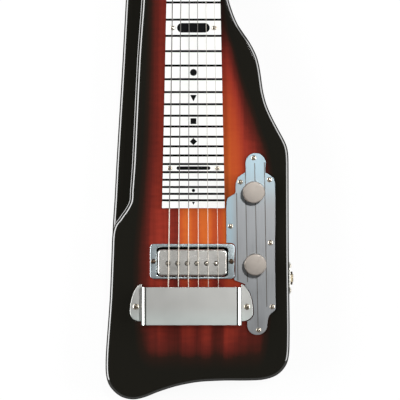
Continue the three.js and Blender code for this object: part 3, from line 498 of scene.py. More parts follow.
bodyValues = {
    "lowSection": 0.0155,  # where the outline is read, below the ledge and above it
    "highSection": 0.031,
    "outlineSteps": 5,
    "stepHeight": 0.011,
    "stepInside": 0.001,  # how far inside the rim a point belongs to the step
    "edgeRadius": 0.0042,
    "edgeSegments": 6,
    "wallMost": 0.1,  # share of Z in a wall's normal, and in the normal of a face that it meets at the rim
    "faceLeast": 0.5,
    # how far from its corner the step leaves the rim, and comes back to its own line
    "swing": (0.012, 0.007),
    "swingSteps": 14,
    "footRadius": 0.0019,  # of the hollow at the foot of the step
    "footSteps": 6,
    "footStart": 0.0014,  # how far inside the rim it begins
    "footTaper": 0.007,
    "footLeastShare": 0.04,  # of the radius, at both its ends
    "footInside": 0.0012,  # how far it reaches into the wall
    "reliefBeforeNeckEnd": 0.008,  # where the back begins to rise to the headstock
    "reliefLength": 0.016,
    "flatArea": 0.0001,  # a larger face of the back is one of its flats
    "flatLeast": 0.9999,
    "pocketLength": 0.0755,
    "pocketWidth": 0.0314,
    "pocketCorner": 0.004,
    "jackBore": 0.0056,
    "jackBoreDepth": 0.024,
    "jackBoreSides": 48,
    "seatGap": 0.0003,
}

burstValues = {
    # how far along the body, and where black begins on the bass and on the treble side
    "glowEdges": [(-0.05, -0.060, 0.078), (0.04, -0.064, 0.086), (0.12, -0.058, 0.086),
                  (0.166, -0.054, 0.080), (0.187, -0.0530, 0.0725), (0.218, -0.052, 0.062),
                  (0.245, -0.051, 0.052), (0.27, -0.0505, 0.045), (0.30, -0.050, 0.036),
                  (0.58, -0.041, 0.020)],
    # how far along the body, and how far inward the colour counts there at most
    "tailGlow": [(-0.090, 0.0), (-0.066, 0.0), (-0.055, 0.0025), (-0.042, 0.0085), (-0.025, 0.0125),
                 (0.005, 0.014), (0.028, 0.022), (0.045, 0.036), (0.062, 0.052), (0.080, 0.066),
                 (0.11, 0.070)],
    "glowReach": 0.1,  # the most that the places above can say
    "depth": 0.060,  # from where black ends to the clearest colour
    "cornerBlend": 0.016,
    "joinX": -0.0145,  # where two boards of the top meet
    "joinBlur": 0.0006,
    # how clear the wood is, from band to band across the body
    "bands": [(-0.100, 0.80), (-0.053, 0.80), (-0.035, 0.90), (-0.019, 0.62), (-0.006, 1.0), (0.004, 0.72),
              (0.012, 0.98), (0.026, 0.56), (0.037, 1.02), (0.0445, 0.94), (0.053, 0.66), (0.10, 0.9)],
    "bandReach": 1.1,
    "bassShade": 0.70,  # the board on the bass side is darker, and gets no clearer than at this depth
    "bassMost": 0.0165,
    "bassBlend": 0.008,
    # the grain wanders a little from side to side on its way along the body
    "wander": {"scale": 7, "detail": 1, "width": 0.005},
    # the marks of the wood, how many in a metre, and what they leave of its colour
    "layers": {
        "bands": {"across": 105, "along": 3, "detail": 1, "fade": (0.34, 0.66), "gain": 0.18, "base": 0.91},
        "streaks": {"across": 620, "along": 9, "detail": 3, "gain": 0.34, "base": 0.83},
        "figure": {"across": 60, "along": 240, "detail": 1, "gain": 0.26, "base": 0.87},
    },
    # share of the depth, and the colour there
    "colors": [(0.0, tone(26, 25, 21)), (0.05, tone(39, 26, 21)), (0.14, tone(92, 34, 28)),
               (0.24, tone(140, 49, 37)), (0.42, tone(168, 66, 39)), (0.68, tone(184, 81, 41)),
               (1.0, tone(200, 100, 45))],
    "faceFrom": 0.030,  # the walls are black up to here, and the colours are full from there on
    "faceTo": 0.0365,
    # the clear coat, by how far the surface turns from the eye
    "coat": [(0.0, 0.03), (0.045, 0.03), (0.105, 1.0), (0.24, 1.0), (0.42, 0.12), (0.62, 0.04), (1.0, 0.04)],
    "unevenness": {"scale": 160, "detail": 1},
    "bump": {"strength": 0.05, "distance": 0.0002},
    "fixed": {"Roughness": 0.4, "Specular IOR Level": 0.0, "Coat IOR": 1.95, "Coat Roughness": 0.03},
}


# A value that changes along or across the body, from what it is at some places. It stays within the reach.
def readCurve(tree, along, rows, reach):
    low, high = rows[0][0], rows[-1][0]
    curve = addNode(tree, "FloatCurve", {"Value": fade(tree, along, low, high, "LINEAR")})
    points = curve.mapping.curves[0].points
    places = [((place - low) / (high - low), 0.5 + value / reach / 2) for place, value in rows]
    points[0].location = places[0]
    points[-1].location = places[-1]
    for place in places[1:-1]:
        points.new(*place)
    curve.mapping.update()
    return swingOf(tree, curve.outputs[0], reach * 2)


def softMin(tree, first, second, blend):
    return addNode(tree, "Math", {0: first, 1: second, 2: blend}, operation="SMOOTH_MIN").outputs[0]


def woodLayer(tree, across, along, layer):
    place = {0: times(tree, across, layer["across"]), 1: times(tree, along, layer["along"])}
    marks = noise(tree, addNode(tree, "CombineXYZ", place).outputs[0], 1, layer["detail"])
    if "fade" in layer:
        marks = fade(tree, marks, *layer["fade"])
    return scaled(tree, marks, layer["gain"], layer["base"])


# How far inward from the black border a place lies, as a share of the depth.
def burstGlow(tree, x, y, across):
    values = burstValues
    reach, blend, blur = values["glowReach"], values["cornerBlend"], values["joinBlur"]
    bassEdge, trebleEdge = ([(row[0], row[side]) for row in values["glowEdges"]] for side in (1, 2))
    bass = compute(tree, "SUBTRACT", x, readCurve(tree, y, bassEdge, reach))
    treble = compute(tree, "SUBTRACT", readCurve(tree, y, trebleEdge, reach), x)
    tail = readCurve(tree, y, values["tailGlow"], reach)
    onBass = softMin(tree, times(tree, bass, values["bassShade"]), values["bassMost"], values["bassBlend"])
    join = fade(tree, across, values["joinX"] - blur, values["joinX"] + blur)
    inward = addNode(tree, "Mix", {0: join, 2: onBass, 3: bass}, data_type="FLOAT").outputs[0]
    inward = softMin(tree, softMin(tree, inward, treble, blend), tail, blend)
    return compute(tree, "DIVIDE", inward, values["depth"])


def makeLacquer():
    values = burstValues
    material, tree, shader = startMaterial("bodyLacquer")
    place = objectPlace(tree)
    x, y, z = splitPlace(tree, place)
    drift = noise(tree, place, values["wander"]["scale"], values["wander"]["detail"])
    across = compute(tree, "ADD", x, swingOf(tree, drift, values["wander"]["width"]))
    bands, streaks, figure = (woodLayer(tree, across, y, layer) for layer in values["layers"].values())
    wood = times(tree, bands, readCurve(tree, across, values["bands"], values["bandReach"]))
    wood = times(tree, times(tree, wood, streaks), figure)
    face = fade(tree, z, values["faceFrom"], values["faceTo"])
    glow = times(tree, burstGlow(tree, x, y, across), wood)
    ramp = addNode(tree, "ValToRGB", {0: compute(tree, "MULTIPLY", glow, face, clamp=True)})
    setStops(ramp, values["colors"])
    tree.links.new(ramp.outputs[0], shader.inputs["Base Color"])

    facing = addNode(tree, "LayerWeight", {"Blend": 0.5}).outputs["Facing"]
    clear = addNode(tree, "ValToRGB", {0: facing})
    setStops(clear, [(turned, (weight, weight, weight, 1)) for turned, weight in values["coat"]])
    tree.links.new(clear.outputs[0], shader.inputs["Coat Weight"])
    uneven = noise(tree, place, values["unevenness"]["scale"], values["unevenness"]["detail"])
    tree.links.new(bumpNormal(tree, uneven, values["bump"]), shader.inputs["Normal"])
    setSockets(shader, values["fixed"])
    return material


def distanceTo(point, outline):
    def gap(a, b):
        nearest, share = intersect_point_line(point, a, b)
        nearest = a if share < 0 else b if share > 1 else nearest.xy
        return (point - nearest.xy).length
    return min(gap(a, b) for a, b in zip(outline, [*outline[1:], outline[0]]))


def fromTail(loop):
    tail = min(range(len(loop)), key=lambda i: loop[i].y)
    return loop[tail:] + loop[:tail]


# The foot of the step, from the ledge's lower end to the far corner of the raised neck.
def stepLine(lowKnots, highKnots):
    loop = fromTail(highKnots)
    inside = [i for i, p in enumerate(loop) if distanceTo(p, lowKnots) > bodyValues["stepInside"]]
    return loop[inside[0] - 1:inside[-1] + 2]


# Swings a line smoothly round its corner, from one distance before it to another behind it.
def swungRound(line, corner, before, after):
    def walk(towards, distance):
        i, gone = corner, 0.0
        while gone < distance:
            gone += (line[i + towards] - line[i]).length
            i += towards
        return i

    start, end = walk(-1, before), walk(1, after)
    into = (line[start] - line[start - 1]).normalized()
    away = (line[end] - line[end + 1]).normalized()
    span = (line[end] - line[start]).length / 3
    swing = curveLine(line[start], line[start] + into * span, line[end] + away * span, line[end],
                      bodyValues["swingSteps"])
    return line[:start] + swing + line[end + 1:]


# The hollow curve between the step's wall and the ledge, which thins out at both its ends.
def stepFoot(line, ledge):
    values = bodyValues
    along = [0.0]
    for a, b in zip(line, line[1:]):
        along.append(along[-1] + (b - a).length)
    turns = quarterTurns(values["footSteps"])
    inside, deep = -values["footInside"], ledge - values["edgeRadius"] * cornerRoom
    sections = []
    for i, point in enumerate(line):
        ahead = line[min(i + 1, len(line) - 1)] - line[max(i - 1, 0)]
        outward = Vector((-ahead.y, ahead.x)).normalized()
        left = min(along[i], along[-1] - along[i]) / values["footTaper"]
        reach = values["footRadius"] * min(max(left, values["footLeastShare"]), 1)
        hollow = [(reach * (1 - math.sin(t)), ledge + reach * (1 - math.cos(t))) for t in turns]
        section = [(inside, deep), (reach, deep), *hollow, (inside, ledge + reach)]
        sections.append([(*(point + outward * across), height) for across, height in section])
    bm = bmesh.new()
    rings = [[bm.verts.new(place) for place in section] for section in sections]
    for ring, following in zip(rings, rings[1:]):
        for i in range(len(ring)):
            j = (i + 1) % len(ring)
            bm.faces.new((ring[i], ring[j], following[j], following[i]))
    bm.faces.new(rings[0])
    bm.faces.new(rings[-1])
    turnOutward(bm)
    return bm


# The body's outline below the ledge, the one above it, and where the neck ends.
def bodyOutlines():
    values = bodyValues
    seatLow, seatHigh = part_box("jack_plate")

    def offSeat(point):
        return point.x < 0 or not seatLow.y - cutMargin < point.y < seatHigh.y + cutMargin

    lowKnots = [p for p in sectionLoops("body", values["lowSection"])[0] if offSeat(p)]
    highKnots = sectionLoops("body", values["highSection"])[0]
    low = fromTail(refine(lowKnots, values["outlineSteps"]))
    step = refine(stepLine(lowKnots, highKnots), values["outlineSteps"], closed=False)
    first, last = [min(range(len(low)), key=lambda i: (low[i] - end).length) for end in (step[0], step[-1])]
    if first > last:
        first, last, step = last, first, step[::-1]
    high = low[:first + 1] + step[1:-1] + low[last:]
    tailEnd = first if step[0].y < step[-1].y else first + len(step) - 1
    return low, swungRound(high, tailEnd, *values["swing"]), max(p.y for p in highKnots)


# The back rises to the headstock's thickness over a short slope.
def raiseBack(bm, start, headBack):
    length = bodyValues["reliefLength"]
    for place in (start, start + length):
        back = [f for f in bm.faces if all(v.co.z < weldDistance for v in f.verts)]
        parts = {part for f in back for part in (f, *f.edges, *f.verts)}
        bmesh.ops.bisect_plane(bm, geom=list(parts), plane_co=(0, place, 0), plane_no=(0, 1, 0))
    for vert in bm.verts:
        if vert.co.z < weldDistance:
            vert.co.z = headBack * min(max((vert.co.y - start) / length, 0), 1)
    turnOutward(bm)


def isRim(edge):
    tilts = [abs(face.normal.z) for face in edge.link_faces]
    return min(tilts) < bodyValues["wallMost"] and max(tilts) > bodyValues["faceLeast"]


# The pocket for the pickup, and the seat and the bore for the jack.
def bodyCutters(face):
    values = bodyValues
    ring = boxOf("pickup_ring")[2]
    outline = roundedBox(values["pocketLength"], values["pocketWidth"], values["pocketCorner"], ring.x,
                         ring.y)
    pocket = slab(outline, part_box("pickup_base_plate")[0].z, face + cutMargin)
    low, high, middle = boxOf("jack_plate")
    gap = values["seatGap"]
    seat = box((low.x, low.y - gap, low.z - gap), (high.x, high.y + gap, high.z + gap))
    opening = circle(0, 0, values["jackBore"], values["jackBoreSides"])
    bore = slab(opening, -values["jackBoreDepth"], cutMargin)
    return [pocket, seat, moved(bore, (low.x, middle.y, middle.z), tilt=facingTreble)]


# Clears what the rounding and the union leave on the flats of the back.
def mendBack(bm, headBack):
    values = bodyValues
    # the rim's rounding folds over at the crease of the back, where the outline flares
    bm.normal_update()
    for fold in [f for f in bm.faces
                 if f.normal.z > values["flatLeast"] and abs(f.verts[0].co.z - headBack) < weldDistance]:
        shortest = min(fold.edges, key=lambda edge: edge.calc_length())
        kept = max(shortest.verts, key=lambda vert: vert.co.y)
        bmesh.ops.pointmerge(bm, verts=shortest.verts[:], merge_co=kept.co)
    bm.normal_update()
    # an edge within a flat goes too
    flats = {f for f in bm.faces if f.normal.z < -values["flatLeast"] and f.calc_area() > values["flatArea"]}
    bmesh.ops.dissolve_edges(bm, edges=[e for e in bm.edges if flats.issuperset(e.link_faces)])


def makeBody():
    values = bodyValues
    radius, segments = values["edgeRadius"], values["edgeSegments"]
    edgeLow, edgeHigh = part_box("body")
    face = edgeHigh.z
    ledge = face - values["stepHeight"]
    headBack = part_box("tuner_plate_left")[1].z
    low, high, neckEnd = bodyOutlines()
    corners = cornerReaches(high, radius) + cornerReaches(low, radius)

    bm = slab(clearOf(low, corners), 0, ledge)
    raiseBack(bm, neckEnd - values["reliefBeforeNeckEnd"], headBack)
    roundEdges(bm, [e for e in bm.edges if isRim(e)], radius, segments)
    upper = slab(clearOf(high, corners), ledge / 2, face)
    roundEdges(upper, edgesAt(upper, face), radius, segments)
    # the ledge lies to the left of its step, seen from the step's tail end
    wall = [p for p in high if distanceTo(p, low) > values["footStart"]]
    foot = stepFoot(wall if wall[0].y < wall[-1].y else wall[::-1], ledge)
    bm = carve(combine(bm, [upper, foot], "UNION"), bodyCutters(face))
    for vert in bm.verts:
        vert.co.x = min(max(vert.co.x, edgeLow.x), edgeHigh.x)
    mendBack(bm, headBack)
    finishPiece(bm, "body_lacquered", makeLacquer(), ["body"], sharpAngle=30, weighted=True)
    print("Body", len(low), "outline points")


makeBody()


# Fretboard: a white skin over a black core, which the engraved lines and marks lay open

boardValues = {
    "color": tone(239, 239, 237),
    "core": tone(6, 6, 7),
    "skin": 0.00015,
    "scale": 0.5715,
    "shortest": 0.01,  # string length to which the frets are counted, to the bridge's side of them all
    "octave": 12,  # frets to half the length
    "lastFret": 28,
    "fretWidth": 0.0023,  # the black of a fret line, over its narrower cut
    "frequency": (500, 500, 500),
    "contrast": 0.02,
    "roughness": 0.34,
    "smudge": 0.08,
    "bump": {"strength": 0.04, "distance": 0.0001},
    "fixed": {"Specular IOR Level": 0.06},
}


# The first colour where the surface lies above the height, the second one below it.
def makeEngraved(name, values, height, paint=None, paintedSheen=None):
    material, tree, shader = startMaterial(name)
    grain = placeGrain(tree, values)
    place = splitPlace(tree)
    above = fade(tree, place[2], height - lineBlur, height + lineBlur)
    if paint:
        above = times(tree, above, paint(tree, place[1]))
    shaded = shadeColor(tree, paintedSheen(tree, place) if paintedSheen else values["color"][:3], grain["Shade"])
    connectGrain(tree, shader, grain, mixColors(tree, above, values["core"], shaded), values)
    return material


# 0 on a fret line and 1 between them. A string's length to a fret halves in twelve frets.
def fretPaint(tree, y):
    values = boardValues
    half = values["fretWidth"] / 2
    length = compute(tree, "MAXIMUM", y, values["shortest"])
    halvings = compute(tree, "LOGARITHM", compute(tree, "DIVIDE", values["scale"], length), 2)
    nearest = compute(tree, "ROUND", times(tree, halvings, values["octave"]))
    nearest = compute(tree, "MINIMUM", compute(tree, "MAXIMUM", nearest, 1), values["lastFret"])
    share = compute(tree, "POWER", 2, compute(tree, "DIVIDE", nearest, -values["octave"]))
    gap = distanceFrom(tree, y, times(tree, share, values["scale"]))
    return fade(tree, gap, half - lineBlur, half + lineBlur)


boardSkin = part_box("fretboard")[1].z - boardValues["skin"]
dressNode("fretboard", makeEngraved("boardPlastic", boardValues, boardSkin, fretPaint))
print("Fretboard")


# Nut

nutValues = {
    "color": tone(232, 228, 214),
    "frequency": (260, 700, 700),
    "contrast": 0.06,
    "roughness": 0.3,
    "smudge": 0.1,
    "bump": {"strength": 0.05, "distance": 0.0002},
    "ease": 0.0003,
}
nutPlastic = makeFinish("nutPlastic", nutValues)
finishPiece(easedCopy("nut", nutValues["ease"]), "nut_bar", nutPlastic, ["nut"])
print("Nut")


# Strings, numbered from the treble side

stringValues = {
    "gauges": [0.0004, 0.0005, 0.00062, 0.00078, 0.00092, 0.00107],
    "saddleSpread": 0.053,
    "nutSpread": 0.0366,
    "underside": 0.0495,
    "scale": 0.5715,
    "nutBack": 0.0053,
    "anchorHeight": 0.0462,
    "railBack": -0.0105,
    "railFront": -0.0062,
    "ballRadius": 0.0019,
    "ballLength": 0.003,
    "ballEase": 0.0003,
    "ballHoleShare": 0.45,
    "ballSides": 24,
    "waist": 0.0026,
    "runningGap": 0.0004,
    "turnGap": 0.0005,
    "turns": 2,
    "turnSteps": 48,
    "wireSteps": 3,
    "firstWound": 2,
    # painted shade of the round wraps: light and dark in turn at this pitch, by this share of the colour
    "windPitch": 0.0007,
    "wrapShade": 0.06,
    "footRise": 0.0024,
    "ledgeTop": 0.027,
    "color": tone(172, 166, 156),
    # painted shade: how much of the brightness is left above the board, where the strings are made darker
    # against its white
    "boardShade": {"plain": 0.85, "wound": 0.13},
    "boardShadeBlur": 0.002,
    "metallic": (0.15, 0.6),  # above the board and above the body
    "frequency": (60, 60, 60),
    "contrast": 0.05,
    "roughness": 0.42,
    "smudge": 0.12,
    "bump": {"strength": 0.03, "distance": 0.0001},
}
stringCount = len(stringValues["gauges"])


def stringPlaces(spread):
    return [spread / 2 - spread * i / (stringCount - 1) for i in range(stringCount)]


def postPlace(i):
    return boxOf(f"tuner_post_{i + 1}")[2]


def stringRoute(i, gauge):
    values = stringValues
    x = stringPlaces(values["saddleSpread"])[i]
    nutX = stringPlaces(values["nutSpread"])[i]
    line = values["underside"] + gauge / 2
    behindNut = Vector((nutX, values["scale"] + values["nutBack"], line))
    post = postPlace(i)
    outward = math.copysign(1, post.x)
    radius = values["waist"] + values["runningGap"] + gauge / 2
    reach = (post - behindNut).xy
    heading = math.atan2(reach.y, reach.x) + outward * math.asin(radius / reach.length)
    rise = gauge + values["turnGap"]
    top = values["ledgeTop"] + values["footRise"] + values["turns"] * rise + gauge
    route = [Vector((x, values["railBack"], values["anchorHeight"])),
             Vector((x, values["railFront"], values["anchorHeight"])),
             Vector((x, -gauge, line)), Vector((x, gauge, line)),
             Vector((nutX, values["scale"], line)), behindNut]
    for step in range(values["turns"] * values["turnSteps"] + 1):
        turn = step / values["turnSteps"]
        angle = heading + outward * (math.pi / 2 - fullTurn * turn)
        x, y = post.x + radius * math.cos(angle), post.y + radius * math.sin(angle)
        route.append(Vector((x, y, top - turn * rise)))
    return route


# A curve with a round section, made a mesh.
def sweep(route, radius):
    curve = bpy.data.curves.new("route", "CURVE")
    curve.dimensions = "3D"
    curve.bevel_depth = radius
    curve.bevel_resolution = stringValues["wireSteps"]
    curve.use_fill_caps = True
    spline = curve.splines.new("POLY")
    spline.points.add(len(route) - 1)
    for point, place in zip(spline.points, route):
        point.co = (*place, 1)
    holder = bpy.data.objects.new("route", curve)
    bpy.context.scene.collection.objects.link(holder)
    bm = finishedMesh(holder)
    bmesh.ops.remove_doubles(bm, verts=bm.verts, dist=weldDistance)
    bmesh.ops.holes_fill(bm, edges=[e for e in bm.edges if e.is_boundary], sides=0)
    bpy.data.objects.remove(holder)
    bpy.data.curves.remove(curve)
    return bm


def makeStringMetal(name, wrapShade, left):
    values = stringValues
    material, tree, shader = startMaterial(name)
    grain = placeGrain(tree, values)
    y = splitPlace(tree)[1]
    # painted shade of the round wraps, lighter and darker in turn along the string
    wrapShading = compute(tree, "SINE", times(tree, y, fullTurn / values["windPitch"]))
    # painted shade: above the board the strings keep only a share of their brightness, and are less metallic
    boardEnd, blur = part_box("fretboard")[0].y, values["boardShadeBlur"]
    onBody = fade(tree, y, boardEnd + blur, boardEnd - blur)
    shade = times(tree, grain["Shade"], scaled(tree, wrapShading, wrapShade, 1))
    shade = times(tree, shade, scaled(tree, onBody, 1 - left, left))
    connectGrain(tree, shader, grain, shadeColor(tree, values["color"][:3], shade), values)
    low, high = values["metallic"]
    tree.links.new(scaled(tree, onBody, high - low, low), shader.inputs["Metallic"])
    return material


def makeStrings():
    values = stringValues
    plain = makeStringMetal("stringPlain", 0, values["boardShade"]["plain"])
    wound = makeStringMetal("stringWound", values["wrapShade"], values["boardShade"]["wound"])
    radius, length, ease = values["ballRadius"], values["ballLength"], values["ballEase"]
    hole = radius * values["ballHoleShare"]
    for i, gauge in enumerate(values["gauges"]):
        route = stringRoute(i, gauge)
        ball = turnProfile([(hole, 0), (radius, ease), (radius, length - ease), (hole, length), (0, length)],
                           values["ballSides"])
        bm = joined([sweep(route, gauge / 2), moved(ball, route[0], tilt=facingTail)])
        material = wound if i >= values["firstWound"] else plain
        finishPiece(bm, f"string_{i + 1}_wire", material, [f"string_{i + 1}"])
    print("Strings")


makeStrings()


# Screws

screwMetal = {
    **metalFinish,
    "frequency": (700, 700, 700),
    "smudge": 0.12,
    "core": tone(112, 84, 50),  # painted shade in the slots and round the foot, brown as the wood that the heads reflect
}
screwFinishes = {
    "nickel": {**screwMetal, "color": tone(214, 205, 190), "contrast": 0.1, "roughness": 0.24},
    "steel": {**screwMetal, "color": tone(104, 92, 82), "contrast": 0.12, "roughness": 0.3},
}
screwKinds = {
    "plate": {"radius": 0.0027, "dome": 0.0012, "cut": "slot"},
    "fretboard": {"radius": 0.00235, "dome": 0.001, "cut": "slot"},
    "ring": {"radius": 0.0027, "dome": 0.0012, "cut": "slot"},
    "cover": {"radius": 0.00325, "dome": 0.0014, "cut": "cross"},
    "jack": {"radius": 0.0025, "dome": 0.0011, "cut": "cross"},
    "small": {"radius": 0.0017, "dome": 0.0007, "cut": "slot"},
}
screwShape = {
    "rimShare": 0.25,  # of the dome's height, at its rim
    "slotWidthShare": 0.2,
    "crossReachShare": 0.58,
    "crossWidthShare": 0.2,
    "cutDepthShare": 0.75,
    "shadeRise": 0.00004,
    "domeSteps": 6,
    "sides": 32,
}
screwNickel = makeFinish("screwNickel", screwFinishes["nickel"])
turnPicker = random.Random(7)


def screwHead(kind):
    values, shape = screwKinds[kind], screwShape
    radius, dome, rim = values["radius"], values["dome"], shape["rimShare"]
    profile = [(radius * math.sin(t), dome * (rim + (1 - rim) * math.cos(t)))
               for t in quarterTurns(shape["domeSteps"])]
    head = turnProfile([*profile, (radius, 0), (0, 0)], shape["sides"])
    floor, above = dome * (1 - shape["cutDepthShare"]), dome * 2
    if values["cut"] == "slot":
        return carve(head, [slotTool(radius * 2, radius * shape["slotWidthShare"] / 2, floor, above)])
    half, reach = radius * shape["crossWidthShare"] / 2, radius * shape["crossReachShare"]
    return carve(head, [slotTool(reach, half, floor, above), slotTool(half, reach, floor, above)])


screwMeshes = {kind: looseObject(screwHead(kind), f"{kind}_pattern").data for kind in screwKinds}
for pattern in [o for o in bpy.data.objects if o.name.endswith("_pattern")]:
    bpy.data.objects.remove(pattern)


def screwAt(kind, place, tilt=None):
    bm = bmesh.new()
    bm.from_mesh(screwMeshes[kind])
    return moved(bm, place, turnPicker.uniform(0, math.pi), tilt)


# A head's metal, with painted shade in brown on the floor of its slot and round its foot.
def shadedHeadMetal(kind, finish, foot):
    shape = screwShape
    floor = foot + screwKinds[kind]["dome"] * (1 - shape["cutDepthShare"]) + shape["shadeRise"]
    return makeEngraved(f"{kind}ScrewShadedMetal", screwFinishes[finish], floor)


def replaceScrews(kind, finish):
    names = nodesNamed(f"{kind}_screw_")
    dome = screwKinds[kind]["dome"]
    metal = shadedHeadMetal(kind, finish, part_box(names[0])[1].z - dome)
    for node in names:
        high, middle = boxOf(node)[1:]
        head = screwAt(kind, (middle.x, middle.y, high.z - dome))
        finishPiece(head, f"{node}_head", metal, [node], sharpAngle=40)


def makeJackScrews():
    for node in nodesNamed("jack_plate_screw_"):
        high, middle = boxOf(node)[1:]
        head = screwAt("jack", (high.x - screwKinds["jack"]["dome"], middle.y, middle.z), facingTreble)
        finishPiece(head, f"{node}_head", screwNickel, [node], sharpAngle=40)


for kind, finish in (("plate", "nickel"), ("fretboard", "nickel"), ("ring", "steel"), ("cover", "nickel")):
    replaceScrews(kind, finish)
makeJackScrews()
print("Screws")


# Bridge, saddle and the cover over them

bridgeFinish = {
    **metalFinish,
    "color": tone(176, 174, 170),
    "frequency": (1200, 120, 1200),
    "contrast": 0.08,
    "roughness": 0.26,
    "smudge": 0.15,
    "bump": {"strength": 0.05, "distance": 0.0001},
    "ease": 0.0003,
}
coverValues = {
    "wall": 0.0012,
    "cornerRadius": 0.0054,
    "cornerSteps": 10,
    "rimEase": 0.0002,
    "rimSteps": 2,
    "rimAngle": math.radians(60),  # its edges bend more than those of the sheet
    "footEase": 0.0005,
    "footEaseSteps": 3,
    "footReach": 0.0119,
    "footFront": 0.0256,
    "footBack": -0.0136,
    "footWide": -0.0035,
    "footSteps": 14,
    "wallFront": 0.0226,
    "wallBack": -0.017,
    **metalFinish,
    "color": tone(205, 205, 201),
    "tailLight": tone(217, 224, 220),  # painted light: lighter and cooler at its edge towards the tail
    "tailLightFrom": 0.006,
    "frequency": (500, 60, 500),
    "contrast": 0.02,
    "roughness": 0.33,
    "bendPolish": 0.22,  # share of the roughness left on the two bends, which shine more than the satin top
    "bendFade": (-0.0002, 0.0001),  # where the polish begins beside a bend, and where it ends at the wall
    "wallFade": (0.0004, 0.0001),
    "smudge": 0.08,
    "bump": {"strength": 0.02, "distance": 0.0001},
}


def makeCoverChrome(middle, half):
    values = coverValues
    material, tree, shader = startMaterial("coverChrome")
    grain = placeGrain(tree, values)
    place = splitPlace(tree)
    # painted light, growing towards the cover's edge at the tail
    towardsTailLight = fade(tree, place[1], values["tailLightFrom"], values["wallBack"])
    color = mixColors(tree, towardsTailLight, values["color"], values["tailLight"])
    connectGrain(tree, shader, grain, shadeColor(tree, color, grain["Shade"]), values)
    reach = distanceFrom(tree, place[0], middle)
    flat = half - values["cornerRadius"]
    bend = times(tree, fade(tree, reach, *[flat + step for step in values["bendFade"]]),
                 fade(tree, reach, *[half + step for step in values["wallFade"]]))
    left = compute(tree, "SUBTRACT", 1, times(tree, bend, 1 - values["bendPolish"]))
    tree.links.new(times(tree, grain["Roughness"], left), shader.inputs["Roughness"])
    return material


def coverShell(low, high, half, middle):
    values = coverValues
    radius, steps = values["cornerRadius"], values["cornerSteps"]
    reach = half - radius
    shoulder = high.z - radius
    right = arc(middle + reach, shoulder, radius, 0, math.pi / 2, steps)
    left = arc(middle - reach, shoulder, radius, math.pi / 2, math.pi, steps)
    line = [Vector((middle + half, low.z)), *right, *left, Vector((middle - half, low.z))]
    bm = bmesh.new()
    verts = [bm.verts.new((p.x, values["wallBack"], p.y)) for p in line]
    edges = [bm.edges.new(pair) for pair in zip(verts, verts[1:])]
    draw(bm, bmesh.ops.extrude_edge_only(bm, edges=edges), (0, values["wallFront"] - values["wallBack"], 0))
    turnOutward(bm)
    if max(bm.faces, key=lambda f: f.calc_center_median().z).normal.z < 0:
        bmesh.ops.reverse_faces(bm, faces=bm.faces)
    bmesh.ops.solidify(bm, geom=bm.faces[:], thickness=values["wall"])
    turnOutward(bm)
    rims = [e for e in bm.edges if e.calc_face_angle_signed(0) > values["rimAngle"]
            and abs((e.verts[0].co - e.verts[1].co).y) < weldDistance]
    roundEdges(bm, rims, values["rimEase"], values["rimSteps"])
    return bm


def coverFoot(side, edge, low):
    values = coverValues
    wall = edge - side * values["wall"] / 2
    tip = edge + side * values["footReach"]
    front, back, wide = values["footFront"], values["footBack"], values["footWide"]
    top, count = low.z + values["wall"], values["footSteps"] + 1
    forward = [Vector((wall, front)), Vector(((wall + tip) / 2, front)), Vector((tip, (front + wide) / 2)),
               Vector((tip, wide))]
    backward = [Vector((tip, wide)), Vector((tip, wide + (back - wide) * 2 / 3)),
                Vector((wall + (tip - wall) * 2 / 3, back)), Vector((wall, back))]
    bm = slab([*curveLine(*forward, count), *curveLine(*backward, count)[1:]], low.z, top)
    roundEdges(bm, edgesAt(bm, top), values["footEase"], values["footEaseSteps"])
    return bm


def makeCover():
    low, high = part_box("bridge_cover")
    middle = (low.x + high.x) / 2
    half = (high.x - low.x) / 2 - coverValues["footReach"]
    shell = coverShell(low, high, half, middle)
    feet = [coverFoot(side, middle + side * half, low) for side in (-1, 1)]
    finishPiece(joined([shell, *feet]), "bridge_cover_bent", makeCoverChrome(middle, half),
                ["bridge_cover"], sharpAngle=40, weighted=True)


bridgeSteel = makeFinish("bridgeSteel", bridgeFinish)
for node in ("bridge_plate", "bridge_saddle"):
    finishPiece(easedCopy(node, bridgeFinish["ease"]), f"{node}_eased", bridgeSteel, [node])
makeCover()
print("Bridge and cover")


# Pickup

ringValues = {
    "corner": 0.004,
    "openingLength": 0.0750,
    "openingWidth": 0.0309,
    "openingDrop": 0.0005,  # the opening sits a little nearer the tail than the ring
    "ease": 0.0006,
    "easeSteps": 3,
    "rimAngle": 1.0,
    **metalFinish,
    "color": tone(190, 202, 206),
    "contrast": 0.05,
    "roughness": 0.26,
    "smudge": 0.16,
    "bump": {"strength": 0.03, "distance": 0.0001},
}
pickupValues = {
    "corner": 0.0045,
    "ease": 0.0016,
    "easeSteps": 5,
    "holeRadius": 0.0027,
    "wall": 0.001,
    **metalFinish,
    "color": tone(226, 224, 218),
    "frequency": (180, 1400, 1400),
    "contrast": 0.12,
    "roughness": 0.24,
    "smudge": 0.14,
    "bump": {"strength": 0.05, "distance": 0.0001},
}
poleValues = {
    "radius": 0.0022,
    "shankRadius": 0.0015,
    # shares of the radius, and how far below the top
    "crown": [(0.7, 0.0001), (0.93, 0.00028), (1.0, 0.0006)],
    "headDepth": 0.0018,
    "slot": 0.0009,
    "slotDepth": 0.0007,
    "sides": 28,
    "holeSides": 24,
    "y": 0.0473,
    "x": -0.0014,
    "spacing": 0.0101,
}


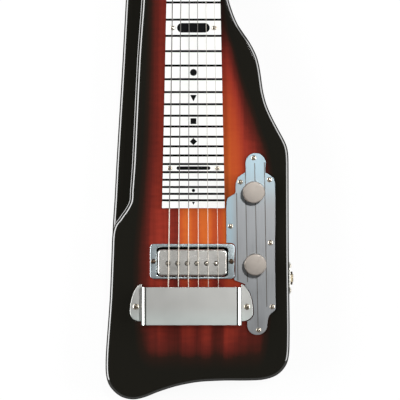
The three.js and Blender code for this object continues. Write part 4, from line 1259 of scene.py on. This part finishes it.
def makeRing():
    values = ringValues
    low, high, middle = boxOf("pickup_ring")
    size = high - low
    bm = bmesh.new()
    outer = roundedBox(size.x, size.y, values["corner"], middle.x, middle.y)
    inner = roundedBox(values["openingLength"], values["openingWidth"], values["corner"], middle.x,
                       middle.y - values["openingDrop"])
    for loop in (outer, inner):
        verts = [bm.verts.new((*p, low.z)) for p in loop]
        for pair in zip(verts, [*verts[1:], verts[0]]):
            bm.edges.new(pair)
    flat = bmesh.ops.bridge_loops(bm, edges=bm.edges[:])["faces"]
    draw(bm, bmesh.ops.extrude_face_region(bm, geom=flat), (0, 0, high.z - low.z))
    bmesh.ops.remove_doubles(bm, verts=bm.verts, dist=weldDistance)
    turnOutward(bm)
    rims = [e for e in edgesAt(bm, high.z) if e.calc_face_angle_signed(0) > values["rimAngle"]]
    roundEdges(bm, rims, values["ease"], values["easeSteps"])
    finishPiece(bm, "pickup_ring_eased", makeFinish("ringMetal", values), ["pickup_ring"],
                weighted=True)


def makePickupCover():
    values = pickupValues
    low, high, middle = boxOf("pickup_cover")
    size, corner, wall = high - low, values["corner"], values["wall"]
    bm = slab(roundedBox(size.x, size.y, corner, middle.x, middle.y), low.z, high.z)
    roundEdges(bm, edgesAt(bm, high.z), values["ease"], values["easeSteps"])
    inner = roundedBox(size.x - wall * 2, size.y - wall * 2, corner - wall, middle.x, middle.y)
    holes = [slab(circle(x, poleValues["y"], values["holeRadius"], poleValues["holeSides"]),
                  high.z - wall * 2, high.z + cutMargin) for x in polePlaces()]
    bm = carve(carve(bm, [slab(inner, low.z - cutMargin, high.z - wall)]), holes)
    finishPiece(bm, "pickup_cover_brushed", makeFinish("pickupChrome", values),
                ["pickup_cover"], weighted=True)


def polePlaces():
    return [poleValues["x"] + poleValues["spacing"] * (i - (stringCount - 1) / 2) for i in range(stringCount)]


def makePoles():
    values = poleValues
    foot, top = (corner.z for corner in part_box("pickup_pole_screws"))
    radius, shank, neck = values["radius"], values["shankRadius"], top - values["headDepth"]
    profile = [*crown(radius, top, values["crown"]), (radius, neck), (shank, neck), (shank, foot), (0, foot)]
    screws = []
    for x in polePlaces():
        slot = slotTool(radius * 2, values["slot"] / 2, top - values["slotDepth"], top + cutMargin)
        screw = carve(turnProfile(profile, values["sides"]), [slot])
        screws.append(moved(screw, (x, values["y"], 0), turnPicker.uniform(0, math.pi)))
    finishPiece(joined(screws), "pickup_pole_heads", screwNickel, ["pickup_pole_screws"],
                sharpAngle=40)


makeRing()
makePickupCover()
makePoles()
innerMetal = {
    **metalFinish,
    "contrast": 0.1,
    "smudge": 0.1,
    "bump": {"strength": 0.05, "distance": 0.0001},
}
# what hardly shows: each node's material, colour, roughness and how metallic it is
innerFinishes = {
    "pickup_bobbin": ("bobbinPlastic", tone(28, 28, 28), 0.4, 0.0),
    "pickup_coil": ("coilWire", tone(122, 58, 30), 0.35, 0.6),
    "pickup_magnet": ("magnetMetal", tone(120, 120, 120), 0.5, 0.8),
    "pickup_base_plate": ("basePlateMetal", tone(170, 168, 160), 0.35, 1.0),
}
for node, (name, color, roughness, metallic) in innerFinishes.items():
    own = {"color": color, "roughness": roughness, "fixed": {"Metallic": metallic}}
    dressNode(node, makeFinish(name, innerMetal | own))
print("Pickup")


# Control plate

plateValues = {
    "outlineSteps": 4,
    "section": 0.0386,
    "ease": 0.0003,
    "easeSteps": 2,
    "lineWidth": 0.0009,
    "lineDepth": 0.0003,
    # top end and bottom end of each engraved line, as shares of the plate's box
    "lineShares": [((0.205, 0.78), (0.232, 0.3)), ((0.382, 0.895), (0.427, 0.29)),
                   ((0.571, 0.945), (0.641, 0.045)), ((0.768, 0.95), (0.819, 0.155))],
    **metalFinish,
    "color": tone(152, 154, 156),
    "paintedSheen": tone(156, 176, 185),
    # painted sheen: along Y and along X, where the lighter, cooler colour begins and where it is full
    "sheenFrom": (0.100, 0.048),
    "sheenTo": (0.150, 0.037),
    "core": tone(104, 101, 98),
    "frequency": (1100, 40, 1100),
    "contrast": 0.22,
    "roughness": 0.34,
    "smudge": 0.14,
    "bump": {"strength": 0.06, "distance": 0.0001},
}


# Painted sheen: the plate lighter and bluer towards its top and its edge on the bass side.
def platePaintedSheen(tree, place):
    values = plateValues
    alongEdge = fade(tree, place[0], values["sheenFrom"][1], values["sheenTo"][1])
    towardsTop = fade(tree, place[1], values["sheenFrom"][0], values["sheenTo"][0])
    return mixColors(tree, compute(tree, "MAXIMUM", alongEdge, towardsTop), values["color"], values["paintedSheen"])


def makePlate():
    values = plateValues
    low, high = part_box("control_plate")
    outline = refine(sectionLoops("control_plate", values["section"])[0], values["outlineSteps"])
    outline = clearOf(outline, cornerReaches(outline, values["ease"]))
    bm = slab(outline, low.z, high.z)
    roundEdges(bm, edgesAt(bm, high.z), values["ease"], values["easeSteps"])

    def platePoint(share):
        return Vector((low.x + share[0] * (high.x - low.x), low.y + share[1] * (high.y - low.y)))

    side = Vector((values["lineWidth"] / 2, 0))
    lines = []
    for ends in values["lineShares"]:
        head, foot = [platePoint(share) for share in ends]
        lines.append(slab([foot - side, foot + side, head + side, head - side], high.z - values["lineDepth"],
                          high.z + cutMargin))
    metal = makeEngraved("plateMetal", values, high.z - values["lineDepth"] / 2, paintedSheen=platePaintedSheen)
    finishPiece(carve(bm, lines), "control_plate_engraved", metal, ["control_plate"],
                weighted=True)


makePlate()
print("Control plate")


# Volume and tone controls

knobValues = {
    "chamfer": 0.0011,
    "chamferShares": [(0.45, 0.2), (0.12, 0.6), (0.0, 1.2)],  # inward from the side and down from the top
    "topEase": 0.0004,
    "ease": 0.0003,
    "rim": 0.0022,
    "skirt": 0.0014,
    "knurls": 72,
    "knurlDepth": 0.00022,
    "pointerWidth": 0.0009,
    "pointerDepth": 0.0003,
    "pointerInnerShare": 0.25,
    "pointerTurns": {"volume": math.radians(62), "tone": math.radians(58)},
    "bore": 0.0076,
    "wallTop": 0.0012,
    **metalFinish,
    "color": tone(171, 163, 155),
    "frequency": (300, 300, 300),
    "contrast": 0.26,
    "roughness": 0.42,
    "smudge": 0.16,
    "bump": {"strength": 0.08, "distance": 0.0001},
}
potFinish = {
    **metalFinish,
    "color": tone(176, 176, 172),
    "contrast": 0.08,
    "roughness": 0.3,
    "smudge": 0.15,
}


def makeKnob(kind, metal):
    values = knobValues
    low, high, place = boxOf(f"{kind}_knob")
    radius, foot, top = (high.x - low.x) / 2, low.z, high.z
    chamfer, ease, bore = values["chamfer"], values["ease"], values["bore"]
    underside = top - values["wallTop"]
    upper, lower = top - values["rim"], foot + values["skirt"]
    sides = values["knurls"] * 2
    bm = turnProfile([
        (0, top), (radius - chamfer - values["topEase"], top),
        *[(radius - chamfer * inward, top - chamfer * down) for inward, down in values["chamferShares"]],
        (radius, upper), (radius, upper - ease), (radius, lower + ease), (radius, lower),
        (radius, foot + ease), (radius - ease, foot), (bore, foot), (bore, underside), (0, underside),
    ], sides)
    for vert in bm.verts:
        onSide = abs(vert.co.xy.length - radius) < weldDistance * 10
        if onSide and lower < vert.co.z - weldDistance and vert.co.z + weldDistance < upper:
            turn = round(math.atan2(vert.co.y, vert.co.x) / fullTurn * sides)
            if turn % 2:
                vert.co.xy *= 1 - values["knurlDepth"] / radius
    half = values["pointerWidth"] / 2
    groove = box((radius * values["pointerInnerShare"], -half, top - values["pointerDepth"]),
                 (radius * 2, half, top + cutMargin))
    moved(groove, turn=values["pointerTurns"][kind])
    bm = moved(carve(bm, [groove]), (place.x, place.y, 0))
    finishPiece(bm, f"{kind}_knob_knurled", metal, [f"{kind}_knob"], body=f"{kind}_control",
                weighted=True)


knobNickel = makeFinish("knobNickel", knobValues)
potMetal = makeFinish("potMetal", potFinish)
for kind in ("volume", "tone"):
    makeKnob(kind, knobNickel)
    dressNode(f"{kind}_pot", potMetal)
    dressNode(f"{kind}_shaft", potMetal)
print("Controls")


# Output jack

jackValues = {
    "ease": 0.0005,
    "easeSteps": 3,
    "plateSteps": 28,
    "plateGap": 0.0003,  # between the plate and the sleeve
    "sleeveRadius": 0.0046,
    "boreRadius": 0.0034,
    "boreDepth": 0.016,
    "boreFloor": 0.001,
    "chamfer": 0.0004,
    "washerRadius": 0.0068,
    "washerThickness": 0.0003,
    "threadGap": 0.0002,
    "flats": 0.012,
    "shaveShares": {"inner": 0.9, "outer": 1.2, "depth": 0.17},
    "shaveRise": 0.0002,
    "sides": {"hole": 40, "turned": 48},
    **metalFinish,
    "color": tone(214, 213, 206),
    "nutColor": tone(206, 192, 164),
    "nutShade": tone(58, 46, 34),  # painted shade on the flats either side of the upward one
    "nutFade": (-0.0002, 0.0008),
    "sleeve": {"color": tone(176, 168, 150), "roughness": 0.28},
    "contrast": 0.04,
    "roughness": 0.38,
    "smudge": 0.1,
    "bump": {"strength": 0.02, "distance": 0.0001},
}


def makeNutMetal(middle, half):
    values = jackValues
    material, tree, shader = startMaterial("nutNickel")
    grain = placeGrain(tree, values)
    reach = distanceFrom(tree, splitPlace(tree)[1], middle)
    # painted shade darkens the flats either side of the upward one
    aside = fade(tree, reach, *[half + step for step in values["nutFade"]])
    color = mixColors(tree, aside, values["nutColor"], values["nutShade"])
    connectGrain(tree, shader, grain, shadeColor(tree, color, grain["Shade"]), values)
    return material


# Built round Z with its foot on the seat, then turned to face the treble side.
def makeJack():
    values, sides = jackValues, jackValues["sides"]
    low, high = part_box("jack_plate")
    seat = (low.x, (low.y + high.y) / 2, (low.z + high.z) / 2)
    length, width, thickness = high.y - low.y, high.z - low.z, high.x - low.x
    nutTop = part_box("jack_nut")[1].x - low.x
    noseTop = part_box("jack_socket")[1].x - low.x
    chrome = makeFinish("jackChrome", values)
    sleeve, bore, chamfer = values["sleeveRadius"], values["boreRadius"], values["chamfer"]

    reach, half, steps = (length - width) / 2, width / 2, values["plateSteps"]
    ends = arc(0, reach, half, 0, math.pi, steps) + arc(0, -reach, half, math.pi, fullTurn, steps)
    plate = slab(ends, 0, thickness)
    roundEdges(plate, edgesAt(plate, thickness), values["ease"], values["easeSteps"])
    hole = circle(0, 0, sleeve + values["plateGap"], sides["hole"])
    plate = carve(plate, [slab(hole, -cutMargin, thickness + cutMargin)])
    finishPiece(moved(plate, seat, tilt=facingTreble), "jack_plate_eased", chrome,
                ["jack_plate"], weighted=True)

    washerTop = thickness + values["washerThickness"]
    inner, outer = sleeve + values["threadGap"], values["washerRadius"]
    washer = turnProfile([(inner, washerTop), (outer, washerTop), (outer, thickness), (inner, thickness),
                          (inner, washerTop)], sides["hole"])
    hexRadius = values["flats"] / 2 / math.cos(math.pi / 6)
    nut = slab(circle(0, 0, hexRadius, 6), washerTop, nutTop)
    # a cone turned off the nut's corners
    shares, above = values["shaveShares"], nutTop + values["shaveRise"]
    near, far = hexRadius * shares["inner"], hexRadius * shares["outer"]
    below = nutTop - hexRadius * shares["depth"]
    shave = turnProfile([(near, above), (far, above), (far, below), (near, above)], sides["turned"])
    thread = slab(circle(0, 0, inner, sides["hole"]), -cutMargin, nutTop + cutMargin)
    nut = moved(carve(nut, [shave, thread]), turn=math.pi / 6)
    finishPiece(moved(joined([washer, nut]), seat, tilt=facingTreble), "jack_nut_chamfered",
                makeNutMetal(seat[1], hexRadius / 2), ["jack_nut"])

    end = -values["boreDepth"]
    floor = end + values["boreFloor"]
    tube = turnProfile([
        (bore + chamfer, noseTop), (sleeve - chamfer, noseTop), (sleeve, noseTop - chamfer), (sleeve, end),
        (0, end), (0, floor), (bore, floor), (bore, noseTop - chamfer), (bore + chamfer, noseTop),
    ], sides["turned"])
    steel = makeFinish("jackSteel", {**values, **values["sleeve"]})
    finishPiece(moved(tube, seat, tilt=facingTreble), "jack_sleeve", steel, ["jack_socket"])


makeJack()
print("Jack")


# Tuners. A tuner is built with its post on the origin and its button along +X.

tunerFinish = {
    **metalFinish,
    "color": tone(200, 194, 182),
    "contrast": 0.08,
    "roughness": 0.25,
    "smudge": 0.16,
}
tunerPlateValues = {
    "ease": 0.0002,
    "thickness": 0.0012,
    # how far outward and along its screws are from its middle post
    "screws": [(-0.0055, 0.019), (-0.0055, -0.019), (0.0095, 0.019), (0.0095, -0.019), (0.002, -0.0468)],
}
postValues = {
    "radius": 0.003,
    "waist": 0.0026,
    # shares of the radius, and how far below the top
    "crown": [(0.55, 0.0001), (0.86, 0.0004), (1.0, 0.0011)],
    "cap": (0.003, 0.0037),  # below the top: where the cap ends, and where the waist begins
    "foot": (0.0027, 0.0021),  # above the wood: where the waist ends, and where the foot begins
    "hole": 0.0008,
    "holeRise": 0.0072,
    "sides": {"post": 36, "hole": 20},
}
gearValues = {
    "radius": 0.0056,
    "teeth": 14,
    "toothDepth": 0.0009,
    "toothShares": (0.3, 0.16),  # of a tooth's turn, to its root and to its tip
    "thickness": 0.004,
    "ease": 0.0002,
    "easeSteps": 1,
    "screwRadius": 0.0024,
    "screwEndShare": 0.8,
    "screwCut": 0.0006,
    "slotHalf": 0.0004,
    "slotReach": 0.004,
    "screwSides": 28,
}
wormValues = {
    "height": 0.0098,
    "radius": 0.0026,
    "core": 0.0018,
    "half": 0.0052,
    "pitch": 0.0022,
    "rootShare": 0.95,
    "threadShares": (0.38, 0.5, 0.88),  # of the pitch, where the thread has risen, begins to fall and ends
    "steps": 20,
    "shaftRadius": 0.0015,
    "shaftInner": -0.0075,
    "shaftInto": 0.002,
    "sides": 24,
}
collarValues = {
    "radius": 0.0028,
    "length": 0.0022,
    "into": 0.0012,
    "gap": 0.0006,
    "ease": 0.0004,
    "sides": 32,
}
buttonValues = {
    "start": 0.020,
    "length": 0.014,
    "radius": 0.0074,
    "thickness": 0.0075,
    "ease": 0.0026,
    "easeSteps": 6,
    "sides": 56,
}
ferruleValues = {
    "inner": 0.0034,
    "outer": 0.0052,
    "rise": 0.0014,
    "sunk": 0.0005,
    "shoulder": [(0.0011, 1.0), (0.0003, 0.7)],  # in from the outside, and shares of the rise
    "sides": 36,
}
buttonFinish = {
    "color": tone(236, 228, 206),
    "frequency": (160, 160, 160),
    "contrast": 0.08,
    "roughness": 0.22,
    "smudge": 0.1,
    "bump": {"strength": 0.03, "distance": 0.0002},
    "fixed": {"Coat Weight": 0.3},
}


def makePost(number, turn, place, metal):
    values = postValues
    low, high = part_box(f"tuner_post_{number}")
    top, foot = high.z, low.z
    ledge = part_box("body")[1].z - bodyValues["stepHeight"]
    gearTop, gearFoot = [wormValues["height"] + side * gearValues["thickness"] / 2 for side in (1, -1)]
    radius, waist = values["radius"], values["waist"]
    capEnd, waistTop = [top - depth for depth in values["cap"]]
    waistEnd, footTop = [ledge + rise for rise in values["foot"]]
    post = turnProfile([*crown(radius, top, values["crown"]), (radius, capEnd), (waist, waistTop),
                        (waist, waistEnd), (radius, footTop), (radius, gearTop), (0, gearTop)],
                       values["sides"]["post"])
    hole = slab(circle(0, 0, values["hole"], values["sides"]["hole"]), -radius * 2, radius * 2)
    moved(hole, (0, 0, ledge + values["holeRise"]), tilt=facingTail)
    parts = [carve(post, [hole]), makeGear(gearFoot, gearTop), makeGearScrew(foot, gearFoot)]
    bm = moved(joined(parts), (place.x, place.y, 0), turn)
    finishPiece(bm, f"tuner_post_{number}_geared", metal, [f"tuner_post_{number}"],
                body=f"tuner_spool_{number}", sharpAngle=30)


def makeGear(foot, top):
    values = gearValues
    teeth, tip = values["teeth"], values["radius"]
    root = tip - values["toothDepth"]
    wide, narrow = values["toothShares"]
    outline = []
    for i in range(teeth):
        for share, reach in ((-wide, root), (-narrow, tip), (narrow, tip), (wide, root)):
            angle = fullTurn * (i + share) / teeth
            outline.append(Vector((reach * math.cos(angle), reach * math.sin(angle))))
    gear = slab(outline, foot, top)
    roundEdges(gear, edgesAt(gear, top) + edgesAt(gear, foot), values["ease"], values["easeSteps"])
    return gear


def makeGearScrew(foot, top):
    values = gearValues
    radius, cut = values["screwRadius"], foot + values["screwCut"]
    screw = turnProfile([(0, top), (radius, top), (radius, cut), (radius * values["screwEndShare"], foot),
                         (0, foot)], values["screwSides"])
    return carve(screw, [slotTool(values["slotReach"], values["slotHalf"], foot - cutMargin, cut)])


def makeWorm():
    values = wormValues
    core, tip, pitch, half = values["core"], values["radius"], values["pitch"], values["half"]
    root = core * values["rootShare"]
    turns = (2 * half - pitch) / pitch
    bm = bmesh.new()
    risen, falling, ended = [-half + pitch * share for share in values["threadShares"]]
    corners = [(root, -half), (tip, risen), (tip, falling), (root, ended)]
    face = bm.faces.new([bm.verts.new((radius, 0, along)) for radius, along in corners])
    steps = int(turns * values["steps"])
    bmesh.ops.spin(bm, geom=[face, *face.edges, *face.verts], cent=(0, 0, 0), axis=(0, 0, 1),
                   dvec=(0, 0, turns * pitch / steps), angle=turns * fullTurn, steps=steps,
                   use_merge=False, use_duplicate=False)
    turnOutward(bm)
    rod = turnProfile([(0, half), (core, half), (core, -half), (0, -half)], values["sides"])
    return joined([bm, rod])


def makeShaft(start):
    values = wormValues
    radius, inner, outer = values["shaftRadius"], values["shaftInner"], start + values["shaftInto"]
    return turnProfile([(0, outer), (radius, outer), (radius, inner), (0, inner)], values["sides"])


def makeCollar(start):
    values = collarValues
    radius, ease = values["radius"], values["ease"]
    top, foot = start + values["into"], start - values["length"] + values["gap"]
    return turnProfile([(0, top), (radius, top), (radius, foot + ease), (radius - ease, foot), (0, foot)],
                       values["sides"])


def makeButton(number, turn, place, metal, plastic):
    values = buttonValues
    start, length, sides = values["start"], values["length"], values["sides"]
    middle = start + length / 2
    axis = Vector((place.x, place.y, wormValues["height"]))
    spindle = joined([makeWorm(), makeShaft(start), makeCollar(start)])
    spindle = moved(moved(spindle, tilt=facingTreble), axis, turn)
    key = f"tuner_key_{number}"
    finishPiece(spindle, f"tuner_worm_{number}", metal, body=key, sharpAngle=30)

    half = values["thickness"] / 2
    oval = [Vector((middle + length / 2 * math.cos(t), values["radius"] * math.sin(t)))
            for t in [fullTurn * i / sides for i in range(sides)]]
    button = slab(oval, -half, half)
    roundEdges(button, edgesAt(button, half) + edgesAt(button, -half), values["ease"], values["easeSteps"])
    finishPiece(moved(button, axis, turn), f"tuner_button_{number}_oval", plastic,
                [f"tuner_button_{number}"], body=key, sharpAngle=50, weighted=True)


def makeFerrule(place):
    values = ferruleValues
    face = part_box("body")[1].z - bodyValues["stepHeight"]
    inner, outer, rise, foot = values["inner"], values["outer"], values["rise"], face - values["sunk"]
    shoulder = [(outer - step, face + rise * share) for step, share in values["shoulder"]]
    ferrule = turnProfile([(inner, foot), (inner, face + rise), *shoulder, (outer, face), (outer, foot),
                           (inner, foot)], values["sides"])
    return moved(ferrule, (place.x, place.y, 0))


def makeTunerPlates(metal, posts):
    values = tunerPlateValues
    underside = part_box("tuner_plate_left")[1].z - values["thickness"]
    heads = []
    for side, outward in (("left", -1), ("right", 1)):
        node = f"tuner_plate_{side}"
        plate = easedCopy(node, values["ease"])
        finishPiece(plate, f"{node}_eased", metal, [node], weighted=True)
        middle = [post for post in posts if post.x * outward > 0][1]
        for across, along in values["screws"]:
            place = (middle.x + outward * across, middle.y + outward * along, underside + weldDistance)
            heads.append(screwAt("small", place, facingBack))
    finishPiece(joined(heads), "tuner_plate_screws", screwNickel, sharpAngle=40)


def makeTuners():
    metal = makeFinish("tunerNickel", tunerFinish)
    plastic = makeFinish("buttonPlastic", buttonFinish)
    posts = [postPlace(i) for i in range(stringCount)]
    for number, post in enumerate(posts, 1):
        turn = 0 if post.x > 0 else math.pi
        low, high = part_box(f"tuner_button_{number}")
        axis = Vector((post.x, (low.y + high.y) / 2, 0))
        makePost(number, turn, post, metal)
        makeButton(number, turn, axis, metal, plastic)
    ferrules = [makeFerrule(post) for post in posts]
    finishPiece(joined(ferrules), "tuner_ferrules", metal, sharpAngle=40)
    makeTunerPlates(metal, sorted(posts, key=lambda place: place.y))
    print("Tuners")


makeTuners()


# Floor, light and camera

stageValues = {
    "floorSize": 12,
    "floorDrop": 0.0004,
    "floorColor": tone(250, 250, 250),
    "speck": {"scale": 40, "detail": 2, "gain": 0.02, "base": 0.99},
    "ownLight": 0.92,  # share of the floor's brightness that doesn't depend on the lamps
    "skyBands": [(-1, 0.50), (0, 0.50), (0.25, 0.44), (0.55, 0.30), (0.75, 0.15), (0.90, 0.11), (0.96, 0.12),
                 (0.985, 0.15), (1, 0.16)],
}
lampValues = {
    "spot": {"place": (0.38, 0.50, 2.4), "size": (0.12, 0.12), "watts": 10, "aim": (0, 0.1, 0)},
    "trebleWall": {"place": (1.55, 0.40, 0.78), "size": (1.9, 1.2), "watts": 35, "aim": (0, 0.40, 0.2)},
    "bassWall": {"place": (-1.55, 0.60, 0.66), "size": (2.3, 1.05), "watts": 55, "aim": (0, 0.60, 0.2)},
}
cameraValues = {
    "x": 0.0069,
    "y": 0.1137,
    "focusHeight": 0.041,
    "frameWidth": 0.4193,
    "lens": 300,
    "sensor": 36,
    "clipEnd": 50,
}


def makeFloor():
    values = stageValues
    material = bpy.data.materials.new("floorPaper")
    material.use_nodes = True
    tree = material.node_tree
    tree.nodes.clear()
    speck = values["speck"]
    pattern = noise(tree, objectPlace(tree), speck["scale"], speck["detail"])
    shade = scaled(tree, pattern, speck["gain"], speck["base"])
    diffuse = addNode(tree, "BsdfDiffuse", {"Color": shadeColor(tree, values["floorColor"][:3], shade)})
    glow = addNode(tree, "Emission", {"Color": (1, 1, 1, 1), "Strength": 1.0})
    rays = addNode(tree, "LightPath").outputs
    seen = compute(tree, "MAXIMUM", compute(tree, "MAXIMUM", rays["Is Camera Ray"], rays["Is Glossy Ray"]),
                   rays["Is Transmission Ray"])
    amount = times(tree, seen, values["ownLight"])
    mixed = addNode(tree, "MixShader", {0: amount, 1: diffuse.outputs[0], 2: glow.outputs[0]})
    out = addNode(tree, "OutputMaterial")
    tree.links.new(mixed.outputs[0], out.inputs["Surface"])
    bm = bmesh.new()
    bmesh.ops.create_grid(bm, x_segments=1, y_segments=1, size=values["floorSize"] / 2)
    bmesh.ops.translate(bm, verts=bm.verts, vec=(0, 0, -values["floorDrop"]))
    floor = looseObject(bm, "floor")
    floor.data.materials.append(material)


def makeSky():
    world = bpy.data.worlds.new("studio")
    bpy.context.scene.world = world
    world.use_nodes = True
    tree = world.node_tree
    tree.nodes.clear()
    height = splitPlace(tree, addNode(tree, "TexCoord").outputs["Generated"])[2]
    level = fade(tree, height, -1, 1, "LINEAR")
    ramp = addNode(tree, "ValToRGB", {0: level})
    setStops(ramp, [((band + 1) / 2, (light, light, light, 1)) for band, light in stageValues["skyBands"]])
    background = addNode(tree, "Background", {"Color": ramp.outputs[0], "Strength": 1.0})
    out = addNode(tree, "OutputWorld")
    tree.links.new(background.outputs[0], out.inputs["Surface"])


def makeLamps():
    for name, values in lampValues.items():
        lamp = bpy.data.lights.new(name, "AREA")
        lamp.shape = "RECTANGLE"
        lamp.size, lamp.size_y = values["size"]
        lamp.energy = values["watts"]
        obj = bpy.data.objects.new(name, lamp)
        bpy.context.scene.collection.objects.link(obj)
        place = Vector(values["place"])
        away = (place - Vector(values["aim"])).normalized()
        # the lamp's long side lies along Y
        long = (Vector((0, 1, 0)) - away * away.y).normalized()
        turn = Matrix((long, away.cross(long), away)).transposed().to_4x4()
        obj.matrix_world = Matrix.Translation(place) @ turn
        obj.visible_camera = False


def makeCamera():
    values = cameraValues
    camera = bpy.data.cameras.new("camera")
    camera.lens = values["lens"]
    camera.sensor_width = values["sensor"]
    distance = values["frameWidth"] * values["lens"] / values["sensor"]
    camera.clip_end = values["clipEnd"]
    obj = bpy.data.objects.new("camera", camera)
    obj.location = (values["x"], values["y"], values["focusHeight"] + distance)
    bpy.context.scene.collection.objects.link(obj)
    bpy.context.scene.camera = obj


makeFloor()
makeSky()
makeLamps()
makeCamera()
bpy.context.scene.view_settings.view_transform = "Standard"
print("Stage, light and camera")

bpy.context.view_layer.update()
